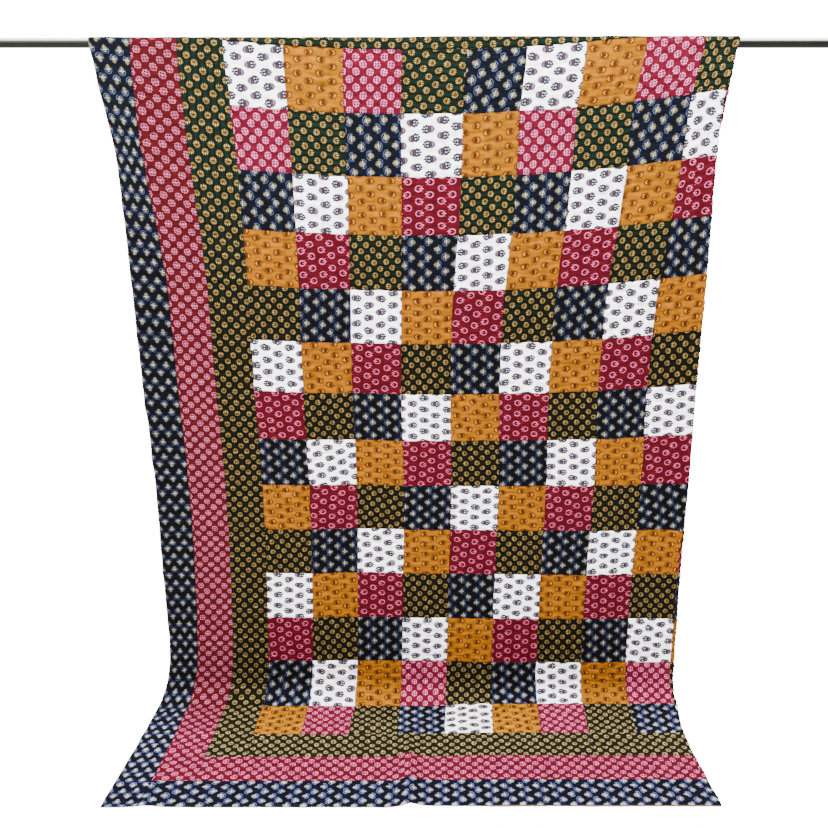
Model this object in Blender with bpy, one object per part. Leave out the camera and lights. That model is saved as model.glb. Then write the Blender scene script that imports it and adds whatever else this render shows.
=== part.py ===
"""A patchwork quilt hung over a plain rod, its lower end lying forward on the floor.

The quilt is described in its own cloth coordinates: `across` runs from its left edge and `along` runs down
from the top seam of the patchwork. `drape` lays any point of the cloth on the rod, down the front and out
over the floor, and every solid is a grid of such points, so all of them share the same folds.
"""
import math
from collections import namedtuple

import bpy
import bmesh

# The quilt, laid flat
PATCH = 0.148
COLUMNS = 11
ROWS = 14
BORDER = 0.109
BORDERS = 3
FRAME_WIDTH = BORDERS * BORDER
QUILT_WIDTH = COLUMNS * PATCH + 2 * FRAME_WIDTH
TOP_EDGE = -FRAME_WIDTH
BOTTOM_EDGE = ROWS * PATCH + FRAME_WIDTH

# Thicknesses, measured from the inner side of the cloth to its printed side
BACKING = 0.0010
SEAM_GAP = 0.0003
TOP_CLOTH = 0.0022
CROWN = 0.0009
QUILT_THICKNESS = BACKING + SEAM_GAP + TOP_CLOTH + CROWN

# The rod
ROD_RADIUS = 0.0125
ROD_LENGTH = 2.300
ROD_HEIGHT = 1.933
ROD_SIDES = 32
ROD_SHARP_ANGLE = math.radians(40)

# How the quilt lies
TOP_SEAM_BELOW_AXIS = 0.017
FLOOR_BEND = 0.068
ROD_CLEARANCE = 0.0013
WRAP_RADIUS = ROD_RADIUS + 0.003
FOLD_RADIUS = 0.003
FOLD_STEPS = 4
LAYER_RAMP = 0.200
CLEARANCE_FADE = (1.50, 1.80)
BOW = 0.062
BOW_HALF_WIDTH = 0.80
BOW_START = 0.15
BOW_REACH = 1.12
BOW_POWER = 1.8

# Soft vertical folds: how far forward, how far apart, where the first stands
Ripple = namedtuple("Ripple", "depth pitch start")
RIPPLES = (Ripple(0.007, 0.43, -0.60), Ripple(0.004, 0.29, -0.72))
RIPPLES_FULL = 1.10
RIPPLES_FADE = (1.45, 1.90)

# At each station along the cloth: where its main lines stand, from the rod's middle, the patch column at which
# it folds back, and how far the cloth has slipped down its path
Station = namedtuple("Station", "along left_edge navy_seam patch_seam fold fold_column slip")
STATIONS = (
    Station(-0.32, -0.775, -0.674, -0.462, 0.791, 8.64, 0.000),
    Station(0.00, -0.812, -0.711, -0.480, 0.814, 8.64, 0.000),
    Station(0.15, -0.793, -0.703, -0.471, 0.795, 8.64, 0.006),
    Station(0.29, -0.776, -0.696, -0.462, 0.789, 8.68, 0.016),
    Station(0.58, -0.766, -0.667, -0.453, 0.794, 8.88, 0.021),
    Station(0.88, -0.763, -0.666, -0.450, 0.796, 8.97, 0.020),
    Station(1.17, -0.754, -0.658, -0.443, 0.801, 8.97, 0.003),
    Station(1.46, -0.756, -0.660, -0.444, 0.803, 9.02, -0.007),
    Station(1.77, -0.762, -0.676, -0.455, 0.813, 9.05, 0.006),
    Station(1.93, -0.796, -0.704, -0.471, 0.820, 9.04, 0.018),
    Station(2.07, -0.807, -0.712, -0.480, 0.807, 9.00, 0.006),
    Station(2.40, -0.834, -0.735, -0.493, 0.820, 9.00, -0.026),
)


def clamp(value, low=0.0, high=1.0):
    """Hold a value between two limits."""
    return max(low, min(high, value))


def ease(value):
    """Rise smoothly from 0 to 1 as the value goes from 0 to 1."""
    value = clamp(value)
    return value * value * (3 - 2 * value)


def puff(value):
    """Rise from 0 at a seam to 1 in the middle of a patch and back to 0 at the next seam."""
    return math.sin(math.pi * (value % 1.0)) ** 2


def at_station(along, column):
    """Read one column of the station table at a place along the cloth, with a smooth curve between rows."""
    last = len(STATIONS) - 1
    row = 0
    while row < last - 1 and along > STATIONS[row + 1].along:
        row += 1
    here = STATIONS[row]
    there = STATIONS[row + 1]
    before = STATIONS[max(row - 1, 0)]
    after = STATIONS[min(row + 2, last)]
    span = there.along - here.along
    t = clamp((along - here.along) / span)
    values = [getattr(station, column) for station in (before, here, there, after)]
    slope_here = (values[2] - values[0]) / (there.along - before.along) * span
    slope_there = (values[3] - values[1]) / (after.along - here.along) * span
    return (
        values[1] * (2 * t**3 - 3 * t**2 + 1)
        + slope_here * (t**3 - 2 * t**2 + t)
        + values[2] * (3 * t**2 - 2 * t**3)
        + slope_there * (t**3 - t**2)
    )


def fold_start(along):
    """Find where across the cloth the right-hand fold begins."""
    return FRAME_WIDTH + at_station(along, "fold_column") * PATCH


def fold_length():
    """Measure the cloth that goes round the right-hand fold."""
    return math.pi * FOLD_RADIUS


def fold_centre(along):
    """Find the middle of the right-hand fold, so that its outer side stands on the station's line."""
    return at_station(along, "fold") - FOLD_RADIUS - QUILT_THICKNESS


def width_scale(along):
    """Tell how much the soft folds draw the patches together at a station."""
    flat = fold_start(along) - FRAME_WIDTH
    return (fold_centre(along) - at_station(along, "patch_seam")) / flat


def sideways(across, along):
    """Place a point sideways, and tell how far it has turned round the fold (0 in front, pi behind)."""
    start = fold_start(along)
    if across <= BORDER:
        left = at_station(along, "left_edge")
        return left + (at_station(along, "navy_seam") - left) * across / BORDER, 0.0
    if across <= FRAME_WIDTH:
        navy = at_station(along, "navy_seam")
        share = (across - BORDER) / (FRAME_WIDTH - BORDER)
        return navy + (at_station(along, "patch_seam") - navy) * share, 0.0
    if across <= start:
        return at_station(along, "patch_seam") + (across - FRAME_WIDTH) * width_scale(along), 0.0
    if across <= start + fold_length():
        return fold_centre(along), (across - start) / FOLD_RADIUS
    return fold_centre(along) - (across - start - fold_length()) * width_scale(along), math.pi


def run_along(x, along):
    """Tell how far down the drape a point lies, from the level of the rod's axis on the front."""
    fade = clamp((along - BOW_START) / BOW_REACH) ** BOW_POWER
    bow = BOW * (1 - fade) * (x / BOW_HALF_WIDTH) ** 2
    return along + TOP_SEAM_BELOW_AXIS + at_station(along, "slip") - bow


def depth_shift():
    """Find how far back the drape stands, so that the middle of its depth is over the origin."""
    on_floor = BOTTOM_EDGE + TOP_SEAM_BELOW_AXIS + at_station(BOTTOM_EDGE, "slip")
    on_floor -= ROD_HEIGHT - FLOOR_BEND + FLOOR_BEND * math.pi / 2
    front_reach = ROD_RADIUS + FLOOR_BEND + on_floor
    back_reach = ROD_RADIUS + ROD_CLEARANCE + 2 * (QUILT_THICKNESS + FOLD_RADIUS) - CROWN
    return (front_reach - back_reach) / 2


DEPTH_SHIFT = depth_shift()


def support(run):
    """Give the point and the outward direction of what the cloth lies on: flap, rod, front, bend, floor."""
    over_rod = math.pi * WRAP_RADIUS
    straight = ROD_HEIGHT - FLOOR_BEND
    if run < -over_rod:
        return (ROD_RADIUS, ROD_HEIGHT + run + over_rod), (1.0, 0.0)
    if run < 0:
        turn = -run / WRAP_RADIUS
        outward = (-math.cos(turn), math.sin(turn))
        return (ROD_RADIUS * outward[0], ROD_HEIGHT + ROD_RADIUS * outward[1]), outward
    if run < straight:
        return (-ROD_RADIUS, ROD_HEIGHT - run), (-1.0, 0.0)
    turn = min((run - straight) / FLOOR_BEND, math.pi / 2)
    beyond = run - straight - FLOOR_BEND * turn
    outward = (-math.cos(turn), math.sin(turn))
    depth = -ROD_RADIUS - FLOOR_BEND * (1 + outward[0]) - beyond
    return (depth, FLOOR_BEND * (1 - outward[1])), outward


def ripple(x, along):
    """Measure how far the soft vertical folds stand forward."""
    strength = ease(along / RIPPLES_FULL)
    strength *= 1 - ease((along - RIPPLES_FADE[0]) / (RIPPLES_FADE[1] - RIPPLES_FADE[0]))
    total = sum(r.depth * (1 - math.cos(2 * math.pi * (x - r.start) / r.pitch)) / 2 for r in RIPPLES)
    return strength * total


def front_lift(x, along, run):
    """Measure how far the front layer's inner side lies off its support."""
    hidden = QUILT_WIDTH - fold_start(along) - fold_length()
    under_edge = fold_centre(along) - hidden * width_scale(along)
    doubled = ease((x - under_edge + LAYER_RAMP) / LAYER_RAMP)
    fade = (run - CLEARANCE_FADE[0]) / (CLEARANCE_FADE[1] - CLEARANCE_FADE[0])
    clearance = ROD_CLEARANCE * (1 - ease(fade))
    return clearance + doubled * (QUILT_THICKNESS + 2 * FOLD_RADIUS) + ripple(x, along)


def drape(across, along, height):
    """Lay a point of the cloth, `height` out from its inner side, in place."""
    x, turn = sideways(across, along)
    run = run_along(x, along)
    base, outward = support(run)
    lift = front_lift(x, along, run)
    lift += FOLD_RADIUS * (math.cos(turn) - 1) + height * math.cos(turn)
    x += (FOLD_RADIUS + height) * math.sin(turn)
    return (x, base[0] + outward[0] * lift + DEPTH_SHIFT, base[1] + outward[1] * lift)


# The grid of lines that every piece of cloth is made on. A line across that goes with the fold is measured
# from where the fold begins.
Line = namedtuple("Line", "place with_fold")
HALF_COLUMNS_BEFORE_FOLD = 17
COLUMNS_AFTER_FOLD = (9.5, 10, 10.5, 11)
BEFORE_FOLD = 0.045
AFTER_FOLD = 0.050

# Lines along: close round the rod, half a patch apart on the front, a quarter of a patch apart on the bend
ROD_LINE_PITCH = 0.011
ROD_LINES = range(-6, 6)
BELOW_ROD_LINE = 0.100
FRONT_HALF_ROWS = range(2, 24)
BEND_QUARTER_ROWS = range(48, 55)


def lines_across():
    """List the lines that run down the quilt, from its left edge to its right."""
    lines = [Line(step * BORDER / 2, False) for step in range(2 * BORDERS)]
    lines += [Line(FRAME_WIDTH + step * PATCH / 2, False) for step in range(HALF_COLUMNS_BEFORE_FOLD)]
    lines.append(Line(-BEFORE_FOLD, True))
    lines += [Line(step * fold_length() / FOLD_STEPS, True) for step in range(FOLD_STEPS + 1)]
    lines.append(Line(fold_length() + AFTER_FOLD, True))
    lines += [Line(FRAME_WIDTH + column * PATCH, False) for column in COLUMNS_AFTER_FOLD]
    lines += [Line(QUILT_WIDTH - (BORDERS - 1 - step) * BORDER, False) for step in range(BORDERS)]
    return lines


def lines_along():
    """List the lines that run across the quilt, from its top edge to its bottom."""
    lines = [TOP_EDGE + step * BORDER for step in range(BORDERS)]
    lines += [step * ROD_LINE_PITCH for step in ROD_LINES]
    lines.append(BELOW_ROD_LINE)
    lines += [step * PATCH / 2 for step in FRONT_HALF_ROWS]
    lines += [step * PATCH / 4 for step in BEND_QUARTER_ROWS]
    lines += [ROWS * PATCH + step * BORDER for step in range(BORDERS + 1)]
    return lines


ACROSS = lines_across()
ALONG = lines_along()


def place_across(line, along):
    """Tell where a line across the cloth lies at a station."""
    return line.place + (fold_start(along) if line.with_fold else 0.0)


def nearest(places, wanted):
    """Find the number of the grid line at a place."""
    return min(range(len(places)), key=lambda i: abs(places[i] - wanted))


def across_number(wanted):
    """Find the number of the fixed line across at a place."""
    places = [line.place if not line.with_fold else math.inf for line in ACROSS]
    return nearest(places, wanted)


def crown_height(across, along):
    """Measure how far the quilting lifts a patch of the field between its seams."""
    inside = 0 < along < ROWS * PATCH and FRAME_WIDTH < across < QUILT_WIDTH - FRAME_WIDTH
    if not inside:
        return 0.0
    return CROWN * puff((across - FRAME_WIDTH) / PATCH) * puff(along / PATCH)


def diagonal_rises(i, j):
    """Choose a cell's diagonal so that it crosses the rod the short way."""
    along = (ALONG[j] + ALONG[j + 1]) / 2
    across = (place_across(ACROSS[i], along) + place_across(ACROSS[i + 1], along)) / 2
    x, turn = sideways(across, along)
    return (x < 0) == (turn < math.pi / 2)


def make_material(name, colour, roughness, metallic=0.0):
    """Make a plain material."""
    material = bpy.data.materials.new(name)
    material.use_nodes = True
    shader = material.node_tree.nodes["Principled BSDF"]
    shader.inputs["Base Color"].default_value = (*colour, 1.0)
    shader.inputs["Roughness"].default_value = roughness
    shader.inputs["Metallic"].default_value = metallic
    return material


def cloth_solid(name, columns, rows, bottom, top, material, crowned=False):
    """Make one closed piece of cloth over a block of grid cells.

    `columns` and `rows` are the first and last line numbers, and `bottom` and `top` are the heights of its
    two faces over the quilt's inner side. Its edges stand half a seam gap inside its outer lines.
    """
    mesh = bpy.data.meshes.new(name)
    form = bmesh.new()
    inset = SEAM_GAP / 2
    faces = []
    for height, lifted in ((bottom, False), (top, crowned)):
        grid = []
        for j in range(rows[0], rows[1] + 1):
            along = ALONG[j] + inset * ((j == rows[0]) - (j == rows[1]))
            line = []
            for i in range(columns[0], columns[1] + 1):
                across = place_across(ACROSS[i], ALONG[j]) + inset * ((i == columns[0]) - (i == columns[1]))
                rise = crown_height(across, along) if lifted else 0.0
                line.append(form.verts.new(drape(across, along, height + rise)))
            grid.append(line)
        faces.append(grid)
    inner, outer = faces
    wide = columns[1] - columns[0]
    tall = rows[1] - rows[0]
    for j in range(tall):
        for i in range(wide):
            rises = diagonal_rises(columns[0] + i, rows[0] + j)
            for grid, front in ((inner, False), (outer, True)):
                corners = [grid[j][i], grid[j + 1][i], grid[j + 1][i + 1], grid[j][i + 1]]
                if rises:
                    corners = corners[1:] + corners[:1]
                if not front:
                    corners.reverse()
                    corners = corners[-1:] + corners[:-1]
                form.faces.new((corners[0], corners[1], corners[2]))
                form.faces.new((corners[0], corners[2], corners[3]))
    rim = [(j, 0) for j in range(tall)]
    rim += [(tall, i) for i in range(wide)]
    rim += [(j, wide) for j in range(tall, 0, -1)]
    rim += [(0, i) for i in range(wide, 0, -1)]
    for here, there in zip(rim, rim[1:] + rim[:1]):
        a, b = outer[here[0]][here[1]], outer[there[0]][there[1]]
        c, d = inner[there[0]][there[1]], inner[here[0]][here[1]]
        if here < there:
            form.faces.new((b, a, c))
            form.faces.new((a, d, c))
        else:
            form.faces.new((b, a, d))
            form.faces.new((b, d, c))
    form.to_mesh(mesh)
    form.free()
    return add_object(name, mesh, material)


def add_object(name, mesh, material):
    """Put a mesh in the scene with its material."""
    mesh.materials.append(material)
    thing = bpy.data.objects.new(name, mesh)
    bpy.context.scene.collection.objects.link(thing)
    return thing


def make_rod():
    """Make the plain round rod, level, with flat ends."""
    mesh = bpy.data.meshes.new("rod")
    form = bmesh.new()
    bmesh.ops.create_cone(
        form, cap_ends=True, segments=ROD_SIDES, radius1=ROD_RADIUS, radius2=ROD_RADIUS, depth=ROD_LENGTH
    )
    form.to_mesh(mesh)
    form.free()
    mesh.shade_smooth()
    mesh.set_sharp_from_angle(angle=ROD_SHARP_ANGLE)
    rod = add_object("rod", mesh, make_material("dark metal", (0.045, 0.047, 0.043), 0.35, 1.0))
    rod.rotation_euler = (0.0, math.pi / 2, 0.0)
    rod.location = (0.0, DEPTH_SHIFT, ROD_HEIGHT)
    return rod


def make_backing():
    """Make the quilt's plain backing, one piece over the whole grid."""
    cream = make_material("cream backing", (0.78, 0.74, 0.64), 0.9)
    return cloth_solid("backing", (0, len(ACROSS) - 1), (0, len(ALONG) - 1), 0.0, BACKING, cream)


def make_field():
    """Make the patchwork field, its patches raised a little between their seams."""
    mixed = make_material("printed patches", (0.45, 0.25, 0.18), 0.85)
    columns = (across_number(FRAME_WIDTH), across_number(QUILT_WIDTH - FRAME_WIDTH))
    rows = (nearest(ALONG, 0.0), nearest(ALONG, ROWS * PATCH))
    bottom = BACKING + SEAM_GAP
    return cloth_solid("patchwork_field", columns, rows, bottom, bottom + TOP_CLOTH, mixed, crowned=True)


def make_border(colour, material, inner):
    """Make one frame of border strips, `inner` strips' widths outside the field, the side strips full length."""
    reach = inner + 1
    left = across_number(FRAME_WIDTH - reach * BORDER)
    left_inner = across_number(FRAME_WIDTH - inner * BORDER)
    right = across_number(QUILT_WIDTH - FRAME_WIDTH + reach * BORDER)
    right_inner = across_number(QUILT_WIDTH - FRAME_WIDTH + inner * BORDER)
    top = nearest(ALONG, -reach * BORDER)
    top_inner = nearest(ALONG, -inner * BORDER)
    low = nearest(ALONG, ROWS * PATCH + reach * BORDER)
    low_inner = nearest(ALONG, ROWS * PATCH + inner * BORDER)
    bottom = BACKING + SEAM_GAP
    strips = {
        "left": ((left, left_inner), (top, low)),
        "right": ((right_inner, right), (top, low)),
        "top": ((left_inner, right_inner), (top, top_inner)),
        "bottom": ((left_inner, right_inner), (low_inner, low)),
    }
    for side, (columns, rows) in strips.items():
        cloth_solid(f"{colour}_border_{side}", columns, rows, bottom, bottom + TOP_CLOTH, material)


def main():
    """Build the rod, the backing, the patchwork and its three borders."""
    for thing in list(bpy.data.objects):
        bpy.data.objects.remove(thing, do_unlink=True)
    make_rod()
    make_backing()
    make_field()
    make_border("green", make_material("green print", (0.03, 0.10, 0.07), 0.85), 0)
    make_border("red", make_material("red print", (0.50, 0.04, 0.09), 0.85), 1)
    make_border("navy", make_material("navy print", (0.02, 0.03, 0.10), 0.85), 2)


main()
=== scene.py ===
"""Looks of a patchwork quilt that hangs over a plain rod, its lower end lying forward on the floor.

The quilt is described in cloth coordinates: `across` runs from its left edge and `along` runs down from
the top seam of the patchwork, both in metres of flat cloth. `Drape` lays any point of the cloth in
place, `Quilting` raises it between the stitches, and every sewn piece is a fine grid of such points.
"""

import logging
import math
from dataclasses import dataclass, field
from enum import Enum
from typing import NamedTuple

import bmesh
import bpy
import numpy as np
from mathutils import Matrix, Vector


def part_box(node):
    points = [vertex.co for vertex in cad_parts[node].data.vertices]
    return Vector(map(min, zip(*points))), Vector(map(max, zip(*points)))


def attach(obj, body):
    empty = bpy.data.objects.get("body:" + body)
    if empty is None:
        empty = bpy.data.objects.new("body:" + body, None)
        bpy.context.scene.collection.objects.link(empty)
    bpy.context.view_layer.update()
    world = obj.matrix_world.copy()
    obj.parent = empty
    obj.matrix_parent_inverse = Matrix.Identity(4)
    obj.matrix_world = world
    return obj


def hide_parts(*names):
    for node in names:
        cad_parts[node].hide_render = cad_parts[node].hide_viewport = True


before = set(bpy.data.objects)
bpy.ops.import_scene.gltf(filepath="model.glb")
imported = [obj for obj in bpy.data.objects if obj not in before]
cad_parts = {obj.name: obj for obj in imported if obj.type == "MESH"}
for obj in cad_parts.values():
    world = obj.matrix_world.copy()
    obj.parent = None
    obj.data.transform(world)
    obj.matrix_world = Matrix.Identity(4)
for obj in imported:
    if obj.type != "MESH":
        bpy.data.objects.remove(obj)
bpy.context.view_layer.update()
BODY = "root"
MILLIMETRE = 0.001
HAIR = 1e-6
DIGITS = 7
MIX_INPUTS = (6, 7)
MIX_OUTPUT = 2

log = logging.getLogger("quilt")

Point = tuple[float, float, float]
Colour = tuple[float, float, float]
Range = tuple[float, float]
Socket = bpy.types.NodeSocket


def ease(value: np.ndarray) -> np.ndarray:
    """Rise smoothly from 0 to 1 as the value goes from 0 to 1."""
    held = np.clip(value, 0.0, 1.0)
    return held * held * (3 - 2 * held)


def fade(value: np.ndarray, through: Range) -> np.ndarray:
    """Fall smoothly from 1 to 0 as the value goes through a range."""
    start, end = through
    return 1 - ease((value - start) / (end - start))


def hill(distance: np.ndarray, width: float) -> np.ndarray:
    """Give 1 at no distance, falling smoothly to nothing beyond about twice the width."""
    return np.exp(-((distance / width) ** 2))


def puff(value: np.ndarray) -> np.ndarray:
    """Rise from 0 at a whole number to 1 half-way to the next."""
    return np.sin(np.pi * value) ** 2


def put_in_scene(name: str, data: bpy.types.ID) -> bpy.types.Object:
    """Make an object of a mesh, lamp or camera and put it in the scene.

    Args:
        name: its name.
        data: what it is made of.

    Returns:
        The object.
    """
    thing = bpy.data.objects.new(name, data)
    bpy.context.scene.collection.objects.link(thing)
    return thing


# How the quilt is cut and how it hangs


@dataclass(frozen=True)
class Cut:
    """The quilt laid flat: its patches and its three borders."""

    patch: float = 0.148
    columns: int = 11
    rows: int = 14
    border: float = 0.109
    borders: int = 3
    stitch_rows_in_patch: int = 7
    stitch_rows_in_border: int = 5

    @property
    def frame_width(self) -> float:
        """Width of the three borders together."""
        return self.borders * self.border

    @property
    def field_width(self) -> float:
        """Width of the patchwork."""
        return self.columns * self.patch

    @property
    def width(self) -> float:
        """Width of the whole quilt."""
        return self.field_width + 2 * self.frame_width

    @property
    def field_right(self) -> float:
        """Place across the cloth where the patchwork ends."""
        return self.width - self.frame_width

    @property
    def field_end(self) -> float:
        """Place along the cloth where the patchwork ends."""
        return self.rows * self.patch

    @property
    def top(self) -> float:
        """Place along the cloth of the quilt's top edge."""
        return -self.frame_width

    @property
    def bottom(self) -> float:
        """Place along the cloth of the quilt's bottom edge."""
        return self.field_end + self.frame_width

    @property
    def stitch_pitch(self) -> float:
        """Distance between two rows of quilting on the patchwork."""
        return self.patch / self.stitch_rows_in_patch

    def stitch_row(self, along: np.ndarray) -> np.ndarray:
        """Count the quilting rows down to a place, whole at each row of stitches.

        Args:
            along: places along the cloth.

        Returns:
            The row number at each place, 0 at the top seam of the patchwork.
        """
        in_border = self.border / self.stitch_rows_in_border
        inside = np.clip(along, 0.0, self.field_end) / self.stitch_pitch
        above = np.minimum(along, 0.0) / in_border
        below = np.maximum(along - self.field_end, 0.0) / in_border
        return inside + above + below

    def seam_distance(self, place: np.ndarray, length: float) -> np.ndarray:
        """Measure how far a place lies past the nearest seam between patches or strips.

        Args:
            place: distances from the first seam of the patchwork, across or along.
            length: how far the patchwork reaches that way.

        Returns:
            The distance to the nearest seam, negative before it and positive after it.
        """
        on_field = place - self.patch * np.round(place / self.patch)
        outside = np.where(place < 0, place, place - length)
        on_border = outside - self.border * np.round(outside / self.border)
        return np.where((place < 0) | (place > length), on_border, on_field)


@dataclass(frozen=True)
class Ripple:
    """One soft vertical fold that repeats across the hanging cloth."""

    depth: float
    pitch: float
    start: float


class Station(NamedTuple):
    """Where the main lines of the quilt stand at one place along it."""

    along: float
    left_edge: float
    navy_seam: float
    patch_seam: float
    fold: float
    fold_column: float
    slip: float


STATIONS = (
    Station(-0.32, -0.775, -0.674, -0.462, 0.791, 8.64, 0.000),
    Station(0.00, -0.819, -0.714, -0.480, 0.824, 8.64, 0.000),
    Station(0.15, -0.802, -0.715, -0.471, 0.795, 8.64, 0.006),
    Station(0.29, -0.778, -0.708, -0.462, 0.789, 8.68, 0.016),
    Station(0.58, -0.768, -0.674, -0.453, 0.794, 8.88, 0.021),
    Station(0.88, -0.763, -0.666, -0.450, 0.796, 8.97, 0.020),
    Station(1.17, -0.754, -0.658, -0.443, 0.801, 8.97, 0.003),
    Station(1.46, -0.756, -0.660, -0.444, 0.803, 9.02, -0.007),
    Station(1.77, -0.762, -0.676, -0.455, 0.813, 9.05, 0.006),
    Station(1.93, -0.796, -0.704, -0.471, 0.820, 9.01, 0.018),
    Station(2.07, -0.807, -0.712, -0.480, 0.807, 8.94, 0.006),
    Station(2.40, -0.841, -0.740, -0.495, 0.827, 8.94, -0.026),
)


@dataclass(frozen=True)
class Crease:
    """A small fold that the floor pushes up in the lying part of the cloth."""

    x: float
    lean: float
    height: float
    width: float
    begins: float
    full: float


@dataclass(frozen=True)
class Drape:
    """The quilt's way over the rod, down the front and out over the floor."""

    cut: Cut
    rod_depth: float
    rod_height: float
    rod_radius: float = 0.0125
    thickness: float = 0.0044
    seam_below_axis: float = 0.017
    floor_bend: float = 0.068
    clearance: float = 0.0013
    clearance_fade: Range = (1.50, 1.80)
    squash: float = 0.55
    squash_reach: float = 0.085
    fold_pressed: float = 0.82
    floor_reach: float = 0.14
    hem_stretch: float = 0.007
    stretch_from: float = 2.07
    wrap_radius: float = 0.0155
    fold_radius: float = 0.003
    free_rise: float = 0.003
    layer_ramp: float = 0.200
    pull: float = 0.014
    pull_columns: tuple[float, float, float, float] = (3.0, 4.2, 7.9, 8.6)
    pull_fade: Range = (0.32, 0.70)
    bow: float = 0.062
    bow_half_width: float = 0.80
    bow_start: float = 0.15
    bow_reach: float = 1.12
    bow_power: float = 1.8
    ripples: tuple[Ripple, ...] = (Ripple(0.007, 0.43, -0.60), Ripple(0.004, 0.29, -0.72))
    ripples_full: float = 1.10
    ripples_fade: Range = (1.45, 1.90)
    creases: tuple[Crease, ...] = (
        Crease(-0.018, 0.04, 0.015, 0.024, 1.98, 2.18),
        Crease(0.030, 0.10, 0.004, 0.045, 2.02, 2.30),
        Crease(-0.715, -0.10, 0.006, 0.034, 2.26, 2.38),
    )

    def at_station(self, along: np.ndarray, column: str) -> np.ndarray:
        """Read one column of the station table, with a smooth curve between its rows.

        Args:
            along: places along the cloth.
            column: name of the column.

        Returns:
            The column's value at each place.
        """
        places = np.array([station.along for station in STATIONS])
        values = np.array([getattr(station, column) for station in STATIONS])
        last = len(STATIONS) - 1
        row = np.clip(np.searchsorted(places, along, side="left") - 1, 0, last - 1)
        before = np.maximum(row - 1, 0)
        after = np.minimum(row + 2, last)
        span = places[row + 1] - places[row]
        t = np.clip((along - places[row]) / span, 0.0, 1.0)
        slope_here = (values[row + 1] - values[before]) / (places[row + 1] - places[before]) * span
        slope_there = (values[after] - values[row]) / (places[after] - places[row]) * span
        return (
            values[row] * (2 * t**3 - 3 * t**2 + 1)
            + slope_here * (t**3 - 2 * t**2 + t)
            + values[row + 1] * (3 * t**2 - 2 * t**3)
            + slope_there * (t**3 - t**2)
        )

    @property
    def fold_length(self) -> float:
        """Cloth that goes round the right-hand fold."""
        return math.pi * self.fold_radius

    def fold_start(self, along: np.ndarray) -> np.ndarray:
        """Find where across the cloth the right-hand fold begins."""
        return self.cut.frame_width + self.at_station(along, "fold_column") * self.cut.patch

    def fold_centre(self, along: np.ndarray) -> np.ndarray:
        """Find the middle of the right-hand fold."""
        return self.at_station(along, "fold") - self.fold_radius - self.thickness

    def width_scale(self, along: np.ndarray) -> np.ndarray:
        """Tell how much the soft folds draw the patches together."""
        flat = self.fold_start(along) - self.cut.frame_width
        return (self.fold_centre(along) - self.at_station(along, "patch_seam")) / flat

    def sideways(self, across: np.ndarray, along: np.ndarray) -> tuple[np.ndarray, np.ndarray]:
        """Place points sideways.

        Args:
            across: places across the cloth.
            along: places along the cloth.

        Returns:
            The sideways place of each point, and how far it has turned round the fold, in radians.
        """
        border = self.cut.border
        inner = self.cut.frame_width
        left = self.at_station(along, "left_edge")
        navy = self.at_station(along, "navy_seam")
        patch = self.at_station(along, "patch_seam")
        scale = self.width_scale(along)
        start = self.fold_start(along)
        centre = self.fold_centre(along)
        behind = centre - (across - start - self.fold_length) * scale
        x = np.select(
            [across <= border, across <= inner, across <= start, across <= start + self.fold_length],
            [
                left + (navy - left) * across / border,
                navy + (patch - navy) * (across - border) / (inner - border),
                patch + (across - inner) * scale + self.pulled(across, along),
                centre,
            ],
            behind,
        )
        turn = np.clip((across - start) / self.fold_radius, 0.0, math.pi)
        return x, turn

    def pulled(self, across: np.ndarray, along: np.ndarray) -> np.ndarray:
        """Measure how far the upper right patches are pulled to the right.

        Args:
            across: places across the cloth.
            along: places along the cloth.

        Returns:
            The pull at each point.
        """
        column = (across - self.cut.frame_width) / self.cut.patch
        begins, full, holds, ends = self.pull_columns
        share = ease((column - begins) / (full - begins)) * fade(column, (holds, ends))
        return self.pull * share * fade(along, self.pull_fade)

    def run(self, x: np.ndarray, along: np.ndarray) -> np.ndarray:
        """Tell how far down its way a point lies, from the level of the rod's axis on the front.

        Args:
            x: sideways places.
            along: places along the cloth.

        Returns:
            The distance at each point.
        """
        spent = np.clip((along - self.bow_start) / self.bow_reach, 0.0, 1.0) ** self.bow_power
        bow = self.bow * (1 - spent) * (x / self.bow_half_width) ** 2
        low = np.clip((along - self.stretch_from) / self.cut.frame_width, 0.0, 1.0)
        slip = self.at_station(along, "slip") + self.hem_stretch * low
        return along + self.seam_below_axis + slip - bow

    def support(self, run: np.ndarray) -> tuple[np.ndarray, np.ndarray, np.ndarray, np.ndarray]:
        """Follow what the cloth lies on: the back flap, the rod, the front, the bend and the floor.

        Args:
            run: how far down its way each point lies.

        Returns:
            Depth and height of the point lain on, and depth and height of the outward direction there.
        """
        radius = self.rod_radius
        over_rod = math.pi * self.wrap_radius
        straight = self.rod_height - self.floor_bend
        on_flap = run < -over_rod
        on_rod = run < 0
        on_front = run < straight
        rod_turn = np.clip(-run / self.wrap_radius, 0.0, math.pi)
        bend_turn = np.clip((run - straight) / self.floor_bend, 0.0, math.pi / 2)
        beyond = np.maximum(run - straight, 0.0) - self.floor_bend * bend_turn
        which = [on_flap, on_rod, on_front]
        out_depth = np.select(which, [1.0, -np.cos(rod_turn), -1.0], -np.cos(bend_turn))
        out_height = np.select(which, [0.0, np.sin(rod_turn), 0.0], np.sin(bend_turn))
        depth = np.select(
            which,
            [radius, radius * out_depth, -radius],
            -radius - self.floor_bend * (1 + out_depth) - beyond,
        )
        height = np.select(
            which,
            [
                self.rod_height + run + over_rod,
                self.rod_height + radius * out_height,
                self.rod_height - run,
            ],
            self.floor_bend * (1 - out_height),
        )
        return depth, height, out_depth, out_height

    def ripple(self, x: np.ndarray, along: np.ndarray) -> np.ndarray:
        """Measure how far the soft vertical folds stand forward.

        Args:
            x: sideways places.
            along: places along the cloth.

        Returns:
            The height of the folds at each point.
        """
        strength = ease(along / self.ripples_full) * fade(along, self.ripples_fade)
        return strength * sum(fold.depth * puff((x - fold.start) / fold.pitch) for fold in self.ripples)

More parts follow.
